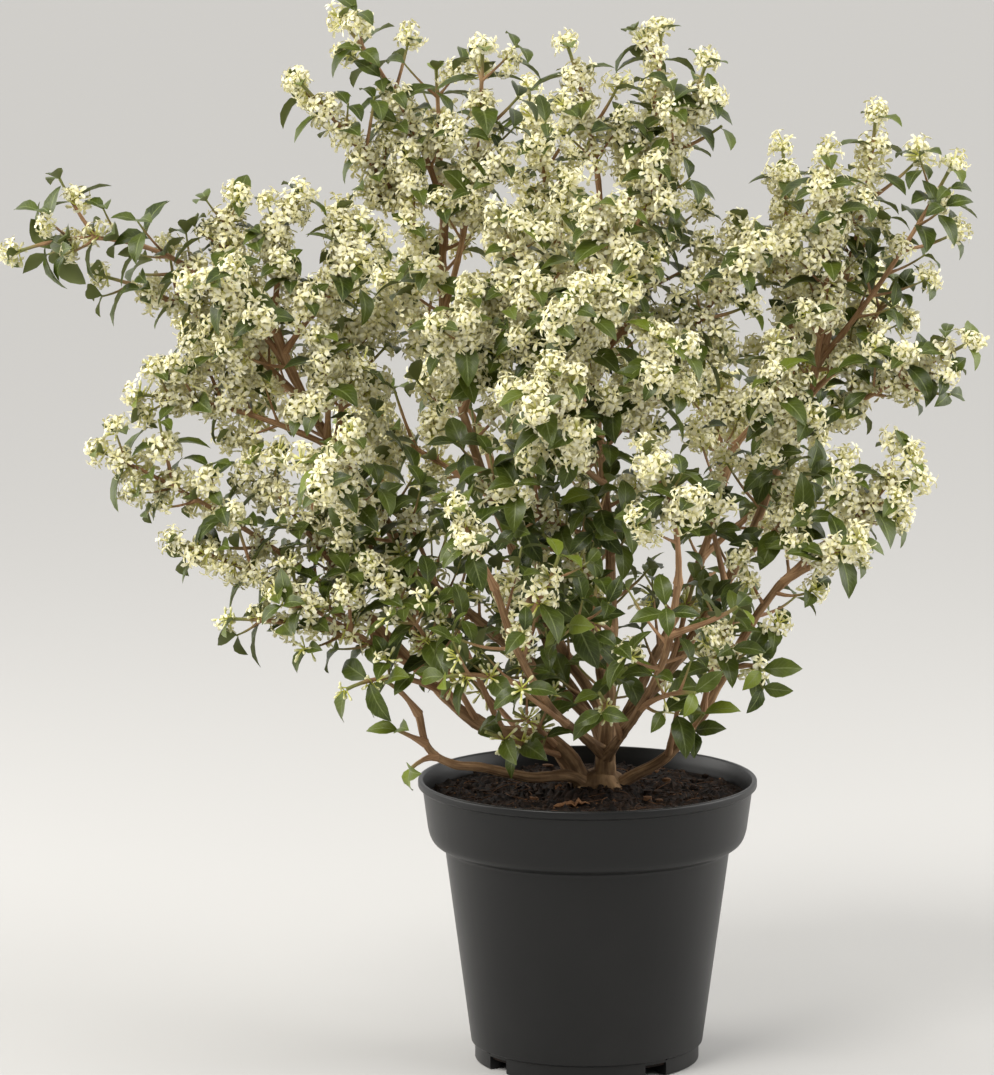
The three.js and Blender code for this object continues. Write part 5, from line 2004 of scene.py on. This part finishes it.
@dataclass(frozen=True)
class FlowerHead:
    """A burst of flowers from one leaf axil: their tubes fan out from the stem."""

    flowers: int = 17
    bud_flowers: int = 9
    axil: float = 1.6
    core: float = 0.6
    mouth: float = 9.6
    plume: float = 5.0
    reach_back: float = 0.2
    bud_share: float = 0.12
    reaches: tuple[float, float] = (0.62, 1.15)
    shifts: tuple[float, float] = (-1, 0.6)
    corolla: Corolla = Corolla()

    def ways(self, head: Head, rng: np.random.Generator) -> Array:
        """Directions spread evenly over a bit more than half a ball by a golden spiral.

        Args:
            head: the head.
            rng: the source of chance.

        Returns:
            The directions.
        """
        count = self.flowers if head.ripe > 0.5 else self.bud_flowers
        order = np.arange(count) + 0.5
        ahead = 1 - (1 + self.reach_back) * order / count
        turn = order * GOLDEN_TURN_RAD + head.spin
        flat = np.sqrt(1 - ahead**2)
        local = np.stack([ahead, flat * np.cos(turn), flat * np.sin(turn)], -1)
        local = unit(local + rng.normal(0, 0.16, local.shape))
        square = unit(head.square - head.way * (head.square @ head.way))
        return local @ np.stack([head.way, square, np.cross(head.way, square)])


@dataclass
class Spray:
    """The branches of one limb: their stems, their leaves and their flowers, one piece each."""

    name: str
    grown: list[Branch]
    added: list[Branch]
    stem_sides: int = 8
    stem_step: float = 6.0
    knot: float = 0.16
    knot_reach: float = 2.2
    collar: float = 0.6
    collar_reach: float = 5.0
    fresh_tip: float = 26.0
    young_after: float = 60.0
    heads_in_piece: int = 200

    @property
    def nodes(self) -> tuple[str, ...]:
        """The CAD nodes that its pieces stand for."""
        return tuple(f"branch_{branch.plan.name}" for branch in self.grown)

    @property
    def branches(self) -> list[Branch]:
        """All its branches, those that the solids leave out among them."""
        return [*self.grown, *self.added]

    def stems(self, bark: bpy.types.Material) -> None:
        """Tapering tubes with a collar at the foot and a slight knot at each joint.

        Args:
            bark: the finish.
        """
        skin = Skin(f"{self.name}_stems", Slot.BARK, self.nodes)
        for branch in self.branches:
            for axis in [*branch.axes, *branch.shoots]:
                self._stem(skin, axis, self.stem_sides if axis.number == 0 else self.stem_sides - 2)
        skin.piece(bark)

    def _stem(self, skin: Skin, axis: Axis, sides: int) -> None:
        """Adds one stem.

        Args:
            skin: the piece.
            axis: its centre line.
            sides: corners in each ring.
        """

        def swell(share: Array, _: Array) -> Array:
            """The factor on the radius."""
            joint = (1 - share) * axis.length / axis.spacing
            knots = self.knot * hump((joint - np.round(joint)) * axis.spacing, self.knot_reach)
            collar = self.collar * hump(share * axis.length, self.collar_reach)
            return np.repeat((1 + knots + collar)[:, None], sides, 1)

        step = self.stem_step if axis.number == 0 else 0.7 * self.stem_step
        points, stack = axis.tube(sides, step, swell)
        along = np.linspace(0, axis.length, stack.rings + 2)
        fresh = np.clip(1 - (axis.length - along) / self.fresh_tip, 0, 1) * 0.9
        start = 0.4 if axis.number == 0 else 0.7
        shade = start + (1 - start) * np.clip(along / self.young_after, 0, 1) + fresh
        tone = np.concatenate([shade[:1], np.repeat(shade[1:-1], sides), shade[-1:]])[None]
        skin.add(points, stack, tone, along)

    def leaves(self, material: bpy.types.Material) -> None:
        """All the leaves at once.

        Args:
            material: their finish.
        """
        found = [leaf for branch in self.branches for leaf in branch.leaves]
        if not found:
            return
        gathered = [np.array([getattr(leaf, key) for leaf in found])
                    for key in ("foot", "rib", "face", "length", "arch", "youth")]
        *shape, youth = gathered
        rng = np.random.default_rng(len(found))
        points = LEAF_FORM.build(*shape, rng.uniform(0, 6.3, len(found)))
        tone = np.clip(youth + rng.normal(0.06, 0.07, len(found)), 0, 1)
        skin = Skin(f"{self.name}_leaves", Slot.FOLIAGE, self.nodes)
        LEAF_FORM.add(skin, points, tone)
        skin.piece(material, 60.0)

    def flowers(self, material: bpy.types.Material, form: FlowerHead) -> None:
        """All the flower heads, in pieces of a like size.

        Args:
            material: their finish.
            form: their form.
        """
        heads = [head for branch in self.branches for head in branch.heads]
        parts = math.ceil(len(heads) / self.heads_in_piece)
        for part in range(parts):
            self._flower_piece(f"{self.name}_flowers_{part + 1}", heads[part::parts], material, form)

    def _flower_piece(self, name: str, heads: list[Head], material: bpy.types.Material,
                      form: FlowerHead) -> None:
        """Some flower heads at once.

        Args:
            name: the piece's name.
            heads: the heads.
            material: their finish.
            form: their form.
        """
        feet, mouths, sizes, ripe, generator = [], [], [], [], np.random.default_rng(len(heads))
        for head in heads:
            ways = form.ways(head, np.random.default_rng(head.seed))
            reach = form.mouth * head.size * generator.uniform(*form.reaches, (len(ways), 1))
            shift = generator.uniform(*form.shifts, (len(ways), 1)) * form.plume * head.size
            axil = head.foot + head.way * form.axil + head.stem * shift
            feet.append(axil + ways * form.core)
            mouths.append(axil + ways * reach)
            sizes.append(np.full(len(ways), head.size))
            ripe.append(np.full(len(ways), head.ripe))
        foot, mouth, size = (np.concatenate(part) for part in (feet, mouths, sizes))
        axis = unit(mouth - foot)
        side = unit(np.cross(axis, generator.normal(size=axis.shape)))
        is_open = generator.uniform(size=len(foot)) < np.concatenate(ripe) * (1 - form.bud_share)
        skin = Skin(name, Slot.PETAL, self.nodes)
        if is_open.any():
            opened = (part[is_open] for part in (mouth, axis, side, size))
            PETAL_FORM.add(skin, form.corolla.petals_at(*opened, generator), 0.0)
        for tube, chosen in ((FLOWER_TUBE, is_open), (BUD, ~is_open)):
            if chosen.any():
                tube.add(skin, *(part[chosen] for part in (foot, mouth, side, size)))
        skin.piece(material, 60.0)


def note_sizes() -> None:
    """Brings the scene's matrices up to date."""
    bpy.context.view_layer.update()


def main() -> None:
    """Builds the studio and the shrub in its pot, piece by piece."""
    Studio().build()
    LOG.info("studio ready")
    pot = Pot()
    pot.build()
    Soil().build(pot)
    growth = Growth()
    LOG.info("grown: %s heads and leaves in the solids' own order", growth.plain_counts)
    bark, leaf, petal = BarkSkin().material(), LeafSkin().material(), PetalSkin().material()
    WoodyFrame().build(growth, bark)
    for limb in LIMBS:
        own, added = ([branch for branch in group if branch.plan.limb == limb.name]
                      for group in (growth.branches, growth.added))
        spray = Spray(limb.name, own, added)
        spray.stems(bark)
        spray.leaves(leaf)
        spray.flowers(petal, FlowerHead())
    heads, leaves = growth.counts(growth.all_branches)
    LOG.info("%d leaves and %d flower heads", leaves, heads)
    note_sizes()


if __name__ == "__main__":
    main()
